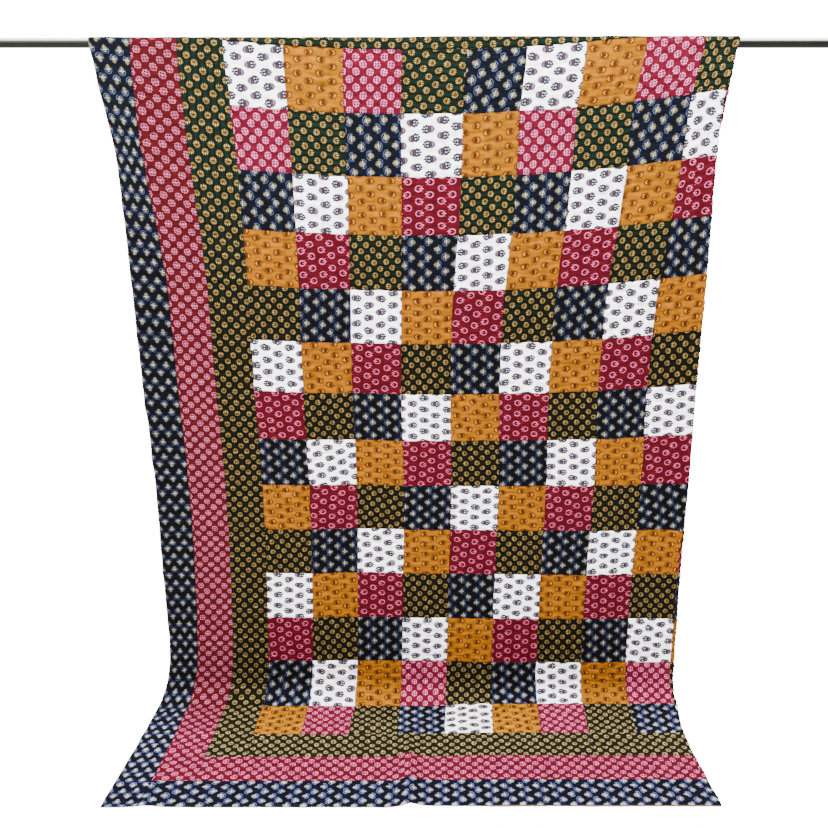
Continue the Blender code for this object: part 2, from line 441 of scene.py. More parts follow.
    def crease_lift(self, x: np.ndarray, along: np.ndarray) -> np.ndarray:
        """Measure how far the small folds on the floor stand up.

        Args:
            x: sideways places.
            along: places along the cloth.

        Returns:
            The height of the folds at each point.
        """
        lift = np.zeros_like(x)
        for crease in self.creases:
            strength = ease((along - crease.begins) / (crease.full - crease.begins))
            middle = crease.x + crease.lean * (along - crease.full)
            lift += crease.height * strength * hill(x - middle, crease.width)
        return lift

    def layer_lift(self, x: np.ndarray, along: np.ndarray) -> np.ndarray:
        """Measure how far the layer folded underneath lifts the front layer.

        Args:
            x: sideways places.
            along: places along the cloth.

        Returns:
            The lift at each point.
        """
        scale = self.width_scale(along)
        hidden = self.cut.width - self.fold_start(along) - self.fold_length
        under_edge = self.fold_centre(along) - hidden * scale
        doubled = ease((x - under_edge + self.layer_ramp) / self.layer_ramp)
        return doubled * (self.thickness + 2 * self.fold_gap(self.run(x, along)))

    def fold_gap(self, run: np.ndarray) -> np.ndarray:
        """Measure half the gap inside the fold, which closes on the rod and on the floor."""
        on_floor = ease((run - self.rod_height) / self.floor_reach)
        return self.fold_radius * (1 - self.fold_pressed * np.maximum(1 - self.off_rod(run), on_floor))

    def off_rod(self, run: np.ndarray) -> np.ndarray:
        """Tell how free of the rod the cloth is, from 0 pressed on it to 1 well below it."""
        over_rod = math.pi * self.wrap_radius
        return ease(np.maximum(run, -run - over_rod) / self.squash_reach)

    def stand_off(self, run: np.ndarray) -> np.ndarray:
        """Measure the gap that the cloth keeps from its support."""
        return self.clearance * fade(run, self.clearance_fade)

    def place(self, across: np.ndarray, along: np.ndarray, height: np.ndarray) -> np.ndarray:
        """Lay points of the cloth in place.

        Args:
            across: places across the cloth.
            along: places along the cloth.
            height: how far each point stands out from the cloth's inner side.

        Returns:
            The points, in an array whose last axis is x, y and z.
        """
        x, turn = self.sideways(across, along)
        run = self.run(x, along)
        depth, level, out_depth, out_level = self.support(run)
        height = np.minimum(height, self.thickness + self.free_rise * (1 + np.cos(turn)))
        layers = self.layer_lift(x, along) + self.fold_gap(run) * (np.cos(turn) - 1)
        layers += height * np.cos(turn)
        pressed = 1 - self.squash * (1 - self.off_rod(run))
        lift = layers * pressed + self.stand_off(run) * pressed**2 + self.ripple(x, along)
        lift += self.crease_lift(x, along)
        x = x + (self.fold_radius + height) * np.sin(turn)
        y = depth + out_depth * lift + self.rod_depth
        return np.stack([x, y, level + out_level * lift], axis=-1)


class Crinkle:
    """Small uneven waves in washed cotton, the same on every run."""

    def __init__(self, seed: int, waves: int, lengths: Range, lie: float, stray: float) -> None:
        """Draw the waves.

        Args:
            seed: seed of the draws.
            waves: how many waves are added up.
            lengths: shortest and longest distance between crests, in metres.
            lie: direction in which most crests follow each other, in degrees from straight across.
            stray: how far that direction strays, in degrees.
        """
        draw = np.random.default_rng(seed)
        length = np.exp(draw.uniform(np.log(lengths[0]), np.log(lengths[1]), waves))
        angle = np.radians(draw.normal(lie, stray, waves))
        self.across = 2 * np.pi * np.cos(angle) / length
        self.along = 2 * np.pi * np.sin(angle) / length
        self.phase = draw.uniform(0, 2 * np.pi, waves)

    def __call__(self, across: np.ndarray, along: np.ndarray) -> np.ndarray:
        """Add up the waves, mostly between -1 and 1.

        Args:
            across: places across the cloth.
            along: places along the cloth.

        Returns:
            The sum at each point.
        """
        total = np.zeros(np.broadcast(across, along).shape)
        for a, b, phase in zip(self.across, self.along, self.phase):
            total += np.sin(a * across + b * along + phase)
        return total / math.sqrt(2 * len(self.phase))


@dataclass(frozen=True)
class Quilting:
    """Relief of the quilted cloth: stitch rows, seams, crowned patches, crinkles and the hem, and the
    painted shade that darkens its grooves.
    """

    cut: Cut
    face: float = 0.0036
    row_depth: float = 0.0019
    row_width: float = 0.0032
    seam_depth: float = 0.0011
    seam_width: float = 0.0018
    allowance_height: float = 0.0005
    allowance_place: float = 0.0055
    allowance_width: float = 0.0035
    crown: float = 0.0009
    wander: float = 0.0013
    fine_height: float = 0.00085
    broad_height: float = 0.0014
    floor_swell: float = 0.9
    floor_from: float = 1.86
    floor_ramp: float = 0.15
    row_strength: Range = (0.8, 0.25)
    held_flat: float = 0.75
    deepest: float = 0.0016
    broad_share: float = 0.6
    groove_shade: Range = (0.25, 0.60)
    dip_shade: float = 0.30
    hem_roll: float = 0.0050
    hem_drop: float = 0.0024
    fine: Crinkle = field(default_factory=lambda: Crinkle(11, 34, (0.016, 0.045), 70, 38))
    broad: Crinkle = field(default_factory=lambda: Crinkle(12, 26, (0.05, 0.16), 60, 40))
    drift: Crinkle = field(default_factory=lambda: Crinkle(13, 22, (0.030, 0.25), 0, 30))
    pull: Crinkle = field(default_factory=lambda: Crinkle(14, 22, (0.030, 0.25), 0, 30))

    def wandering(self, across: np.ndarray, along: np.ndarray) -> tuple[np.ndarray, np.ndarray]:
        """Tell how far quilting pulls each point of the cloth across and along."""
        return self.wander * self.pull(along, across), self.wander * self.drift(across, along)

    def row_groove(self, row: np.ndarray) -> np.ndarray:
        """Give 1 on a row of stitches and fall to 0 between two rows."""
        return hill((row - np.round(row)) * self.cut.stitch_pitch, self.row_width)

    def from_seams(self, across: np.ndarray, along: np.ndarray) -> tuple[np.ndarray, np.ndarray]:
        """Measure how far points lie past the nearest seams, across and along."""
        side = self.cut.seam_distance(across - self.cut.frame_width, self.cut.field_width)
        return side, self.cut.seam_distance(along, self.cut.field_end)

    def seam_groove(self, across: np.ndarray, along: np.ndarray) -> np.ndarray:
        """Give 1 on a seam and fall to 0 on both sides."""
        side, level = self.from_seams(across, along)
        return np.maximum(hill(side, self.seam_width), hill(level, self.seam_width))

    def allowance(self, across: np.ndarray, along: np.ndarray) -> np.ndarray:
        """Give 1 over the seam allowance, which is pressed to one side under the cloth.

        Args:
            across: places across the cloth.
            along: places along the cloth.

        Returns:
            The share at each point.
        """
        side, level = self.from_seams(across, along)
        past_side = hill(side - self.allowance_place, self.allowance_width)
        past_level = hill(level - self.allowance_place, self.allowance_width)
        return np.maximum(past_side, past_level)

    def hem(self, across: np.ndarray, along: np.ndarray) -> np.ndarray:
        """Measure how far the cloth rolls down towards the quilt's outer edge.

        Args:
            across: places across the cloth.
            along: places along the cloth.

        Returns:
            The drop at each point.
        """
        sides = np.minimum(across, self.cut.width - across)
        ends = np.minimum(along - self.cut.top, self.cut.bottom - along)
        inward = np.clip(np.minimum(sides, ends) / self.hem_roll, 0.0, 1.0)
        return self.hem_drop * (1 - np.sqrt(np.clip(1 - (1 - inward) ** 2, 0.0, 1.0)))

    def crowned(self, across: np.ndarray, along: np.ndarray) -> np.ndarray:
        """Measure how far each patch is crowned between its seams.

        Args:
            across: places across the cloth.
            along: places along the cloth.

        Returns:
            The rise at each point.
        """
        place = across - self.cut.frame_width
        inside = (along > 0) & (along < self.cut.field_end)
        inside &= (place > 0) & (place < self.cut.field_width)
        return self.crown * inside * puff(place / self.cut.patch) * puff(along / self.cut.patch)

    def painted_shade(self, across: np.ndarray, along: np.ndarray) -> np.ndarray:
        """Tell how much painted shade a point gets in a groove, from 0 in the open to 1 on a seam.

        Args:
            across: places across the cloth.
            along: places along the cloth.

        Returns:
            The depth at each point.
        """
        # Painted shade: stitch rows, crinkle dips and seams get a share of darkening that the materials
        # paint into the base colour.
        waves = self.fine(across, along) + self.broad_share * self.broad(across, along)
        low = (1 - np.clip(waves, -1, 1)) / 2
        least, more = self.groove_shade
        groove = self.row_groove(self.cut.stitch_row(along)) * (least + more * low)
        dips = self.dip_shade * low**2
        return np.maximum(np.maximum(groove, dips), self.seam_groove(across, along))

    def height(self, across: np.ndarray, along: np.ndarray) -> np.ndarray:
        """Measure how far the printed side stands out from the quilt's inner side.

        Args:
            across: places across the cloth.
            along: places along the cloth.

        Returns:
            The height at each place.
        """
        fine = self.fine(across, along)
        swell = self.floor_swell * ease((along - self.floor_from) / self.floor_ramp)
        broad = self.broad(across, along) * (1 + swell)
        even, varied = self.row_strength
        row = self.row_groove(self.cut.stitch_row(along)) * (even + varied * broad)
        seam = self.seam_groove(across, along)
        open_cloth = 1 - self.held_flat * np.maximum(row, seam)
        rise = self.face + self.crowned(across, along)
        rise += (self.fine_height * fine + self.broad_height * broad) * open_cloth
        rise += self.allowance_height * self.allowance(across, along)
        rise -= np.maximum(self.row_depth * row, self.seam_depth * seam)
        return np.maximum(rise, self.face - self.deepest) - self.hem(across, along)


# Prints: motifs on a lattice, drawn by shader nodes


@dataclass(frozen=True)
class Dye:
    """A colour of the print: high on the quilt, lower down, and on the part that lies on the floor,
    painted mostly lighter there as lit from above.
    """

    upper: Colour
    lower: Colour | None = None
    lying: Colour | None = None


@dataclass(frozen=True)
class Blot:
    """One spot of a motif, an ellipse, ring or rosette, in millimetres from the motif's middle."""

    middle: tuple[float, float]
    radii: tuple[float, float]
    dye: Dye
    hole: float = 0.0
    soft: float = 0.16
    past: float | None = None
    petals: int = 0
    petal_depth: float = 0.22
    strength: float = 1.0


@dataclass(frozen=True)
class Print:
    """A printed cotton: its ground and a motif that repeats in staggered columns."""

    title: str
    ground: Dye
    pitch: tuple[float, float]
    motif: tuple[Blot, ...]
    ground_mottle: float = 0.10
    wear: float = 0.12
    jitter: float = 1.1
    swing: float = 11.0
    shade_in_hollow: Colour = (0.50, 0.48, 0.52)
    lower_between: Range = (0.15, 0.80)
    # Where the tone with painted light for the part on the floor takes over.
    lying_between: Range = (1.80, 2.05)


# A dye's third colour is painted light: a mostly lighter copy for the part that lies on the floor.
WHITE_GROUND = Dye((0.96, 0.93, 0.98), (0.96, 0.93, 0.98))
MAUVE = Dye((0.040, 0.024, 0.036), (0.033, 0.022, 0.031))
PALE_MAUVE = Dye((0.26, 0.20, 0.27))
DEEP_MAUVE = Dye((0.013, 0.007, 0.013), (0.010, 0.006, 0.010))
SLATE = Dye((0.0115, 0.0115, 0.0210), (0.0074, 0.0070, 0.0110))
ORANGE_GROUND = Dye((0.215, 0.079, 0.0002), (0.200, 0.067, 0.0002), (0.330, 0.125, 0.0003))
RUST = Dye((0.082, 0.021, 0.0022), (0.062, 0.014, 0.0018))
DARK_RUST = Dye((0.040, 0.0110, 0.0016), (0.030, 0.0075, 0.0014))
PALE_CREAM = Dye((0.46, 0.26, 0.03))
RED_GROUND = Dye((0.070, 0.0026, 0.0096), (0.078, 0.0030, 0.0112))
PINK = Dye((0.64, 0.155, 0.290), (0.76, 0.150, 0.300))
HEATHER = Dye((0.21, 0.052, 0.135), (0.19, 0.046, 0.115))
PLUM = Dye((0.014, 0.005, 0.013))
DULL_RED_GROUND = Dye((0.040, 0.0020, 0.0038), (0.067, 0.0026, 0.0090))
DULL_PINK = Dye((0.410, 0.092, 0.140), (0.74, 0.140, 0.280))
CRIMSON_GROUND = Dye((0.050, 0.0017, 0.0050), (0.042, 0.0012, 0.0038))
ROSE = Dye((0.56, 0.085, 0.185), (0.43, 0.056, 0.120))
INK_BLUE = Dye((0.0040, 0.0018, 0.0090))
GREEN_GROUND = Dye((0.0021, 0.0092, 0.0058), (0.0020, 0.0029, 0.0010), (0.0062, 0.0066, 0.0014))
GREEN_SHADE = Dye((0.0013, 0.0017, 0.0007), (0.0010, 0.0008, 0.0003), (0.0040, 0.0030, 0.0007))
MUSTARD = Dye((0.150, 0.091, 0.023), (0.104, 0.063, 0.015), (0.225, 0.168, 0.068))
UMBER = Dye((0.020, 0.009, 0.002), (0.012, 0.006, 0.002), (0.018, 0.012, 0.003))
STRAW = Dye((0.300, 0.235, 0.070), (0.205, 0.160, 0.060), (0.380, 0.330, 0.180))
NAVY_GROUND = Dye((0.0016, 0.0027, 0.0066), (0.0008, 0.0010, 0.0030), (0.0022, 0.0028, 0.0092))
NIGHT = Dye((0.0011, 0.0013, 0.0019), (0.0006, 0.0006, 0.0009), (0.0014, 0.0014, 0.0028))
TUFT = Dye((0.126, 0.111, 0.064), (0.078, 0.072, 0.050), (0.275, 0.272, 0.255))
CHALK = Dye((0.380, 0.370, 0.290), (0.290, 0.284, 0.245), (0.560, 0.550, 0.530))
LILAC = Dye((0.046, 0.055, 0.098), (0.024, 0.027, 0.050), (0.085, 0.100, 0.230))
SEA_BLUE = Dye((0.0036, 0.0070, 0.0230), (0.0026, 0.0042, 0.0160), (0.0050, 0.0080, 0.0380))


def both_sides(
    middle: Range, radii: Range, dye: Dye, soft: float, strength: float = 1.0
) -> tuple[Blot, Blot]:
    """Draw the same spot on both sides of the motif's middle line.

    Args:
        middle: middle of the first spot.
        radii: its radii.
        dye: its colour.
        soft: how soft its rim is.
        strength: how strongly it covers.

    Returns:
        Both spots.
    """
    x, y = middle
    near, far = (Blot((x, side), radii, dye, soft=soft, strength=strength) for side in (y, -y))
    return near, far


def rosette(petal: Dye, hole: float) -> tuple[Blot, ...]:
    """Draw the rosette of the red cottons: a ring of petals with a bar, rays and plum dots.

    Args:
        petal: colour of the petals.
        hole: size of the ring's hole.

    Returns:
        The spots.
    """
    return (
        Blot((0.0, 0.0), (9.6, 9.2), petal, hole=hole, soft=0.10, petals=8, petal_depth=0.20),
        Blot((-2.2, 0.0), (3.6, 4.2), HEATHER, soft=0.25, petals=7, petal_depth=0.2, strength=0.85),
        Blot((0.6, 0.0), (1.1, 6.8), petal, strength=0.85),
        Blot((5.0, 0.0), (2.2, 1.2), petal, strength=0.60),
        Blot((-4.2, 4.0), (2.3, 1.8), PLUM, soft=0.2),
        Blot((-4.2, -3.8), (2.3, 1.8), PLUM, soft=0.2),
        *both_sides((4.0, 3.4), (2.3, 1.5), PLUM, soft=0.2, strength=0.9),
        Blot((8.8, 6.8), (2.2, 1.8), PLUM, soft=0.3, strength=0.5),
    )


ROSETTE_ROWS = (0, 1, 12, 13)


class Fabric(Enum):
    """The printed cottons of the quilt."""

    WHITE = Print(
        "white cotton with mauve paws",
        WHITE_GROUND,
        (0.0350, 0.0350),
        (
            Blot((-4.0, 0.0), (12.4, 9.6), MAUVE, soft=0.16, petals=15, petal_depth=0.10),
            Blot((-9.0, 0.0), (1.2, 5.0), PALE_MAUVE, soft=0.5, strength=0.55),
            Blot((-5.6, 0.0), (1.3, 7.2), DEEP_MAUVE, soft=0.5, strength=0.70),
            Blot((-1.0, 0.0), (1.6, 8.4), DEEP_MAUVE, soft=0.5, strength=0.90),
            Blot((4.0, 7.6), (4.2, 3.2), SLATE, soft=0.16),
            Blot((9.6, 5.6), (3.7, 3.0), SLATE, soft=0.16),
            Blot((12.6, 0.2), (3.8, 3.1), SLATE, soft=0.16),
            Blot((9.6, -5.4), (3.7, 3.0), SLATE, soft=0.16),
            Blot((4.0, -7.4), (4.2, 3.2), SLATE, soft=0.16),
            Blot((6.0, 0.0), (4.2, 3.0), SLATE, soft=0.16),
            *both_sides((3.2, 3.5), (1.4, 1.1), WHITE_GROUND, soft=0.3, strength=0.75),
            Blot((9.2, 2.2), (1.2, 0.8), WHITE_GROUND, soft=0.4, strength=0.8),
        ),
        ground_mottle=0.05,
        wear=0.015,
        shade_in_hollow=(0.56, 0.56, 0.62),
    )
    ORANGE = Print(
        "orange cotton with rust fans",
        ORANGE_GROUND,
        (0.0290, 0.0335),
        (
            Blot((-2.4, 0.0), (10.4, 9.4), RUST, soft=0.20, petals=11, petal_depth=0.12),
            Blot((-4.6, 0.0), (3.8, 5.8), DARK_RUST, soft=0.5, strength=0.85),
            Blot((-7.6, 0.0), (1.0, 3.4), PALE_CREAM, soft=0.5, strength=0.35),
            Blot((0.6, 0.0), (1.5, 7.0), DARK_RUST, soft=0.4, strength=0.95),
            *both_sides((5.6, 6.2), (3.4, 2.6), RUST, soft=0.2),
            *both_sides((9.8, 2.6), (2.8, 2.3), RUST, soft=0.2),
            *both_sides((3.8, 3.2), (1.5, 1.2), PALE_CREAM, soft=0.3, strength=0.9),
            Blot((5.8, 0.2), (1.6, 1.2), PALE_CREAM, soft=0.3, strength=0.9),
        ),
        ground_mottle=0.28,
        wear=0.10,
        shade_in_hollow=(0.46, 0.30, 0.20),
    )
    RED = Print("red cotton with close rosettes", RED_GROUND, (0.0176, 0.0355), rosette(PINK, 0.79))
    DULL_RED = Print(
        "border red cotton with close rosettes",
        DULL_RED_GROUND,
        (0.0176, 0.0355),
        rosette(DULL_PINK, 0.82),
        # Painted light: this cotton's lower tone is a lighter copy, and it takes over where the border
        # lies on the floor.
        lower_between=(1.85, 2.12),
    )
    CRIMSON = Print(
        "crimson cotton with open rings",
        CRIMSON_GROUND,
        (0.0280, 0.0320),
        (
            Blot((0.0, 0.0), (10.0, 8.6), ROSE, hole=0.74, soft=0.12, petals=9, petal_depth=0.09),
            Blot((0.0, 0.0), (5.0, 4.2), INK_BLUE, soft=0.25),
            Blot((2.6, 0.0), (2.2, 1.2), ROSE, soft=0.3, strength=0.9),
            Blot((-3.4, 0.0), (1.4, 1.4), CRIMSON_GROUND, soft=0.4),
            Blot((-9.6, 0.0), (2.4, 2.0), CRIMSON_GROUND, soft=0.4, strength=0.7),
            Blot((9.8, 0.0), (3.0, 1.6), ROSE, soft=0.3, strength=0.8),
            Blot((11.4, 5.4), (1.6, 1.2), CRIMSON_GROUND, soft=0.3, strength=0.5),
            *both_sides((10.0, 7.6), (1.7, 0.9), ROSE, soft=0.3, strength=0.35),
        ),
    )
    GREEN = Print(
        "green cotton with mustard fans",
        GREEN_GROUND,
        (0.0170, 0.0335),
        (
            Blot((0.0, 0.0), (12.4, 12.4), GREEN_SHADE, soft=0.20),
            Blot((0.0, 0.0), (8.4, 8.2), MUSTARD, soft=0.14, petals=10, petal_depth=0.20),
            Blot((-3.6, 0.0), (2.8, 3.8), UMBER, soft=0.4, strength=0.80),
            Blot((-0.2, 0.0), (1.1, 6.6), GREEN_SHADE, soft=0.3),
            *both_sides((4.2, 2.4), (3.6, 1.1), GREEN_SHADE, soft=0.3),
            *both_sides((3.4, 4.6), (1.8, 1.1), STRAW, soft=0.3),
            Blot((4.6, 0.0), (2.4, 1.0), STRAW, soft=0.3),
            Blot((-6.2, 0.0), (0.9, 2.8), STRAW, soft=0.3, strength=0.55),
        ),
        ground_mottle=0.30,
    )
    NAVY = Print(
        "navy cotton with cream tufts",
        NAVY_GROUND,
        (0.0228, 0.0400),
        (
            Blot((-1.0, 0.0), (13.4, 13.4), NIGHT, soft=0.30),
            Blot((2.4, 0.0), (9.4, 10.4), SEA_BLUE, soft=0.20, past=-0.20, strength=0.8),
            Blot((1.4, 0.0), (11.2, 11.6), LILAC, hole=0.84, soft=0.07, past=-0.30),
            Blot((-2.4, 0.0), (7.2, 6.8), TUFT, soft=0.22, petals=13, petal_depth=0.20, strength=0.80),
            *both_sides((-6.0, 2.2), (3.4, 0.8), NIGHT, soft=0.4, strength=0.8),
            Blot((-4.6, 0.0), (3.6, 0.8), CHALK, soft=0.4, strength=0.55),
            Blot((1.6, 0.0), (1.3, 7.8), CHALK, soft=0.35, strength=0.85),
            Blot((3.8, 0.0), (0.9, 6.8), NIGHT, soft=0.3),
            *both_sides((5.6, 3.6), (1.6, 1.5), TUFT, soft=0.3, strength=0.75),
            Blot((6.0, 0.0), (1.9, 1.5), CHALK, soft=0.4, strength=0.6),
        ),
        ground_mottle=0.30,
    )

    @staticmethod
    def of_patch(row: int, column: int) -> "Fabric":
        """Choose the cotton of one patch: five cottons in turn, each row two steps further on.

        Args:
            row: its row from the top.
            column: its column from the left.

        Returns:
            The cotton.
        """
        reds = Fabric.RED if row in ROSETTE_ROWS else Fabric.CRIMSON
        turn = (Fabric.WHITE, Fabric.ORANGE, reds, Fabric.GREEN, Fabric.NAVY)
        return turn[(column + 2 * row) % len(turn)]


class Graph:
    """A material's node tree, with short ways to add and join its nodes."""

    def __init__(self, name: str) -> None:
        """Start a material with only its surface shader.

        Args:
            name: name of the material.
        """
        self.material = bpy.data.materials.new(name)
        self.material.use_nodes = True
        self.tree = self.material.node_tree
        self.shader = self.tree.nodes["Principled BSDF"]

    def join(self, socket: Socket, value: "Socket | float | tuple[float, ...]") -> None:
        """Feed a socket from another one, or set it to a plain value.

        Args:
            socket: the socket.
            value: what goes into it.
        """
        if isinstance(value, bpy.types.NodeSocket):
            self.tree.links.new(value, socket)
        elif socket.type == "RGBA" and len(value) == 3:
            socket.default_value = (*value, 1.0)
        else:
            socket.default_value = value

    def surface(self, name: str, value: "Socket | float | Colour") -> None:
        """Feed one of the surface shader's own sockets, or set it to a plain value."""
        self.join(self.shader.inputs[name], value)

    def number(self, operation: str, *values: "Socket | float", clamp: bool = False) -> Socket:
        """Reckon with numbers.

        Args:
            operation: what is done.
            values: what it is done with.
            clamp: whether the result is held between 0 and 1.

        Returns:
            The result.
        """
        node = self.tree.nodes.new("ShaderNodeMath")
        node.operation = operation
        node.use_clamp = clamp
        for socket, value in zip(node.inputs, values):
            self.join(socket, value)
        return node.outputs[0]

    def vector(self, operation: str, *values: "Socket | tuple[float, ...]") -> Socket:
        """Reckon with vectors. A length comes out as a number.

        Args:
            operation: what is done.
            values: what it is done with.

        Returns:
            The result.
        """
        node = self.tree.nodes.new("ShaderNodeVectorMath")
        node.operation = operation
        for socket, value in zip(node.inputs, values):
            self.join(socket, value)
        return node.outputs["Value" if operation == "LENGTH" else "Vector"]

    def parts(self, vector: Socket) -> tuple[Socket, Socket, Socket]:
        """Take a vector apart.

        Args:
            vector: the vector.

        Returns:
            Its three numbers.
        """
        node = self.tree.nodes.new("ShaderNodeSeparateXYZ")
        self.join(node.inputs[0], vector)
        return node.outputs[0], node.outputs[1], node.outputs[2]

    def together(self, x: "Socket | float", y: "Socket | float", z: "Socket | float" = 0.0) -> Socket:
        """Put a vector together.

        Args:
            x: first number.
            y: second number.
            z: third number.

        Returns:
            The vector.
        """
        node = self.tree.nodes.new("ShaderNodeCombineXYZ")
        for socket, value in zip(node.inputs, (x, y, z)):
            self.join(socket, value)
        return node.outputs[0]

    def spread(
        self,
        value: Socket,
        source: Range,
        target: Range = (0.0, 1.0),
        smooth: bool = False,
    ) -> Socket:
        """Carry a number from one range to another.

        Args:
            value: the number.
            source: the range that it comes in.
            target: the range that it goes out in.
            smooth: whether it eases at both ends.

        Returns:
            The carried number, held inside the target range.
        """
        node = self.tree.nodes.new("ShaderNodeMapRange")
        node.interpolation_type = "SMOOTHSTEP" if smooth else "LINEAR"
        for socket, number in zip(node.inputs, (value, *source, *target)):
            self.join(socket, number)
        return node.outputs[0]

    def blend(
        self,
        share: "Socket | float",
        first: "Socket | Colour",
        second: "Socket | Colour",
        mode: str = "MIX",
    ) -> Socket:
        """Mix two colours.

        Args:
            share: how much of the second there is.
            first: the first colour.
            second: the second colour.
            mode: how they mix.

        Returns:
            The mixed colour.
        """
        node = self.tree.nodes.new("ShaderNodeMix")
        node.data_type = "RGBA"
        node.blend_type = mode
        self.join(node.inputs[0], share)
        for number, colour in zip(MIX_INPUTS, (first, second)):
            self.join(node.inputs[number], colour)
        return node.outputs[MIX_OUTPUT]

    def toned(self, colour: "Socket | Colour", tone: Socket) -> Socket:
        """Make a colour darker or lighter by a number."""
        return self.blend(1.0, colour, self.together(tone, tone, tone), "MULTIPLY")

    def noise(self, place: Socket, scale: float, detail: float = 2.0, output: str = "Fac") -> Socket:
        """Draw cloudy noise from 0 to 1.

        Args:
            place: where it is drawn.
            scale: how fine it is.
            detail: how many finer layers it has.
            output: Fac for one number, Color for three.

        Returns:
            The noise.
        """
        node = self.tree.nodes.new("ShaderNodeTexNoise")
        self.join(node.inputs["Vector"], place)
        node.inputs["Scale"].default_value = scale
        node.inputs["Detail"].default_value = detail
        return node.outputs[output]

    def cell_noise(self, place: Socket) -> Socket:
        """Draw three numbers from 0 to 1 for each whole-numbered place.

        Args:
            place: the place.

        Returns:
            The three numbers.
        """
        node = self.tree.nodes.new("ShaderNodeTexWhiteNoise")
        node.noise_dimensions = "2D"
        self.join(node.inputs["Vector"], place)
        return node.outputs["Color"]

    def uv(self, name: str) -> Socket:
        """Read one of the cloth's coordinate maps.

        Args:
            name: name of the map.

        Returns:
            The coordinates.
        """
        node = self.tree.nodes.new("ShaderNodeUVMap")
        node.uv_map = name
        return node.outputs[0]

    def attribute(self, name: str) -> Socket:
        """Read a number stored on the mesh.

        Args:
            name: name of the number.

        Returns:
            The number.
        """
        node = self.tree.nodes.new("ShaderNodeAttribute")
        node.attribute_name = name
        return node.outputs["Fac"]

    def bump(
        self, height: Socket, strength: float, distance: float, under: Socket | None = None
    ) -> Socket:
        """Turn a height into a normal, over another normal if one is given.

        Args:
            height: the height, mostly from 0 to 1.
            strength: how strongly it shows, from 0 to 1.
            distance: how high 1 stands, in metres.
            under: the normal that it is laid over.

        Returns:
            The normal.
        """
        node = self.tree.nodes.new("ShaderNodeBump")
        node.inputs["Strength"].default_value = strength
        node.inputs["Distance"].default_value = distance
        self.join(node.inputs["Height"], height)
        if under is not None:
            self.join(node.inputs["Normal"], under)
        return node.outputs[0]


@dataclass(frozen=True)
class Weave:
    """The plain weave and the running stitches that all the cottons share."""

    thread: float = 0.00055
    thread_height: float = 0.00024
    thread_bump: float = 0.35
    thread_share: float = 0.5
    slub_scale: Point = (600.0, 2200.0, 1.0)
    stitch_length: float = 0.0046
    stitch_gap: float = 0.0036
    stitch_width: float = 0.0007
    stitch_rim: Range = (0.6, 0.35)
    stitch_end: float = 0.05
    stitch_shift: float = 0.37
    stitch_height: float = 0.0005
    stitch_bump: float = 0.6
    crinkle_scale: Point = (46.0, 105.0, 1.0)
    crinkle_height: float = 0.0030
    crinkle_bump: float = 0.8

    def crinkles(self, graph: Graph, cloth: Socket) -> Socket:
        """Draw the small puckers that the quilting leaves between its rows."""
        return graph.noise(graph.vector("MULTIPLY", cloth, self.crinkle_scale), 1.0, 3.0)

    def threads(self, graph: Graph, cloth: Socket) -> Socket:
        """Draw the crossing threads, from 0 between them to 1 on top.

        Args:
            graph: the material's nodes.
            cloth: the cloth coordinates, in metres.

        Returns:
            The threads as a number.
        """
        x, y, _ = graph.parts(cloth)
        scale = 2 * math.pi / self.thread
        warp = graph.number("SINE", graph.number("MULTIPLY", x, scale))
        weft = graph.number("SINE", graph.number("MULTIPLY", y, scale))
        both = graph.number("MULTIPLY", warp, weft)
        slub = graph.noise(graph.vector("MULTIPLY", cloth, self.slub_scale), 1.0)
        return graph.number("ADD", graph.number("MULTIPLY", both, self.thread_share), slub)

    def stitches(self, graph: Graph, cloth: Socket, pitch: float) -> Socket:
        """Draw the running stitches, 1 on the thread and 0 off it.

        Args:
            graph: the material's nodes.
            cloth: the cloth coordinates, in metres.
            pitch: distance between two rows of stitches.

        Returns:
            The stitches as a number.
        """
        x, y, _ = graph.parts(cloth)
        row = graph.number("ROUND", graph.number("DIVIDE", y, pitch))
        off = graph.number("SUBTRACT", y, graph.number("MULTIPLY", row, pitch))
        outer, inner = (self.stitch_width * share for share in self.stitch_rim)
        on_row = graph.spread(graph.number("ABSOLUTE", off), (outer, inner))
        repeat = self.stitch_length + self.stitch_gap
        start = graph.number("MULTIPLY", row, self.stitch_shift)
        count = graph.number("ADD", graph.number("DIVIDE", x, repeat), start)
        share = graph.number("FRACT", count)
        middle = graph.number("ABSOLUTE", graph.number("SUBTRACT", share, 0.5))
        half = 0.5 * self.stitch_length / repeat
        on_stitch = graph.spread(middle, (half + self.stitch_end, half - self.stitch_end))
        return graph.number("MULTIPLY", on_row, on_stitch)

    def normal(
        self, graph: Graph, threads: Socket, stitches: Socket, under: Socket | None = None
    ) -> Socket:
        """Raise the threads and the stitches, over another normal if one is given."""
        woven = graph.bump(threads, self.thread_bump, self.thread_height, under)
        return graph.bump(stitches, self.stitch_bump, self.stitch_height, woven)


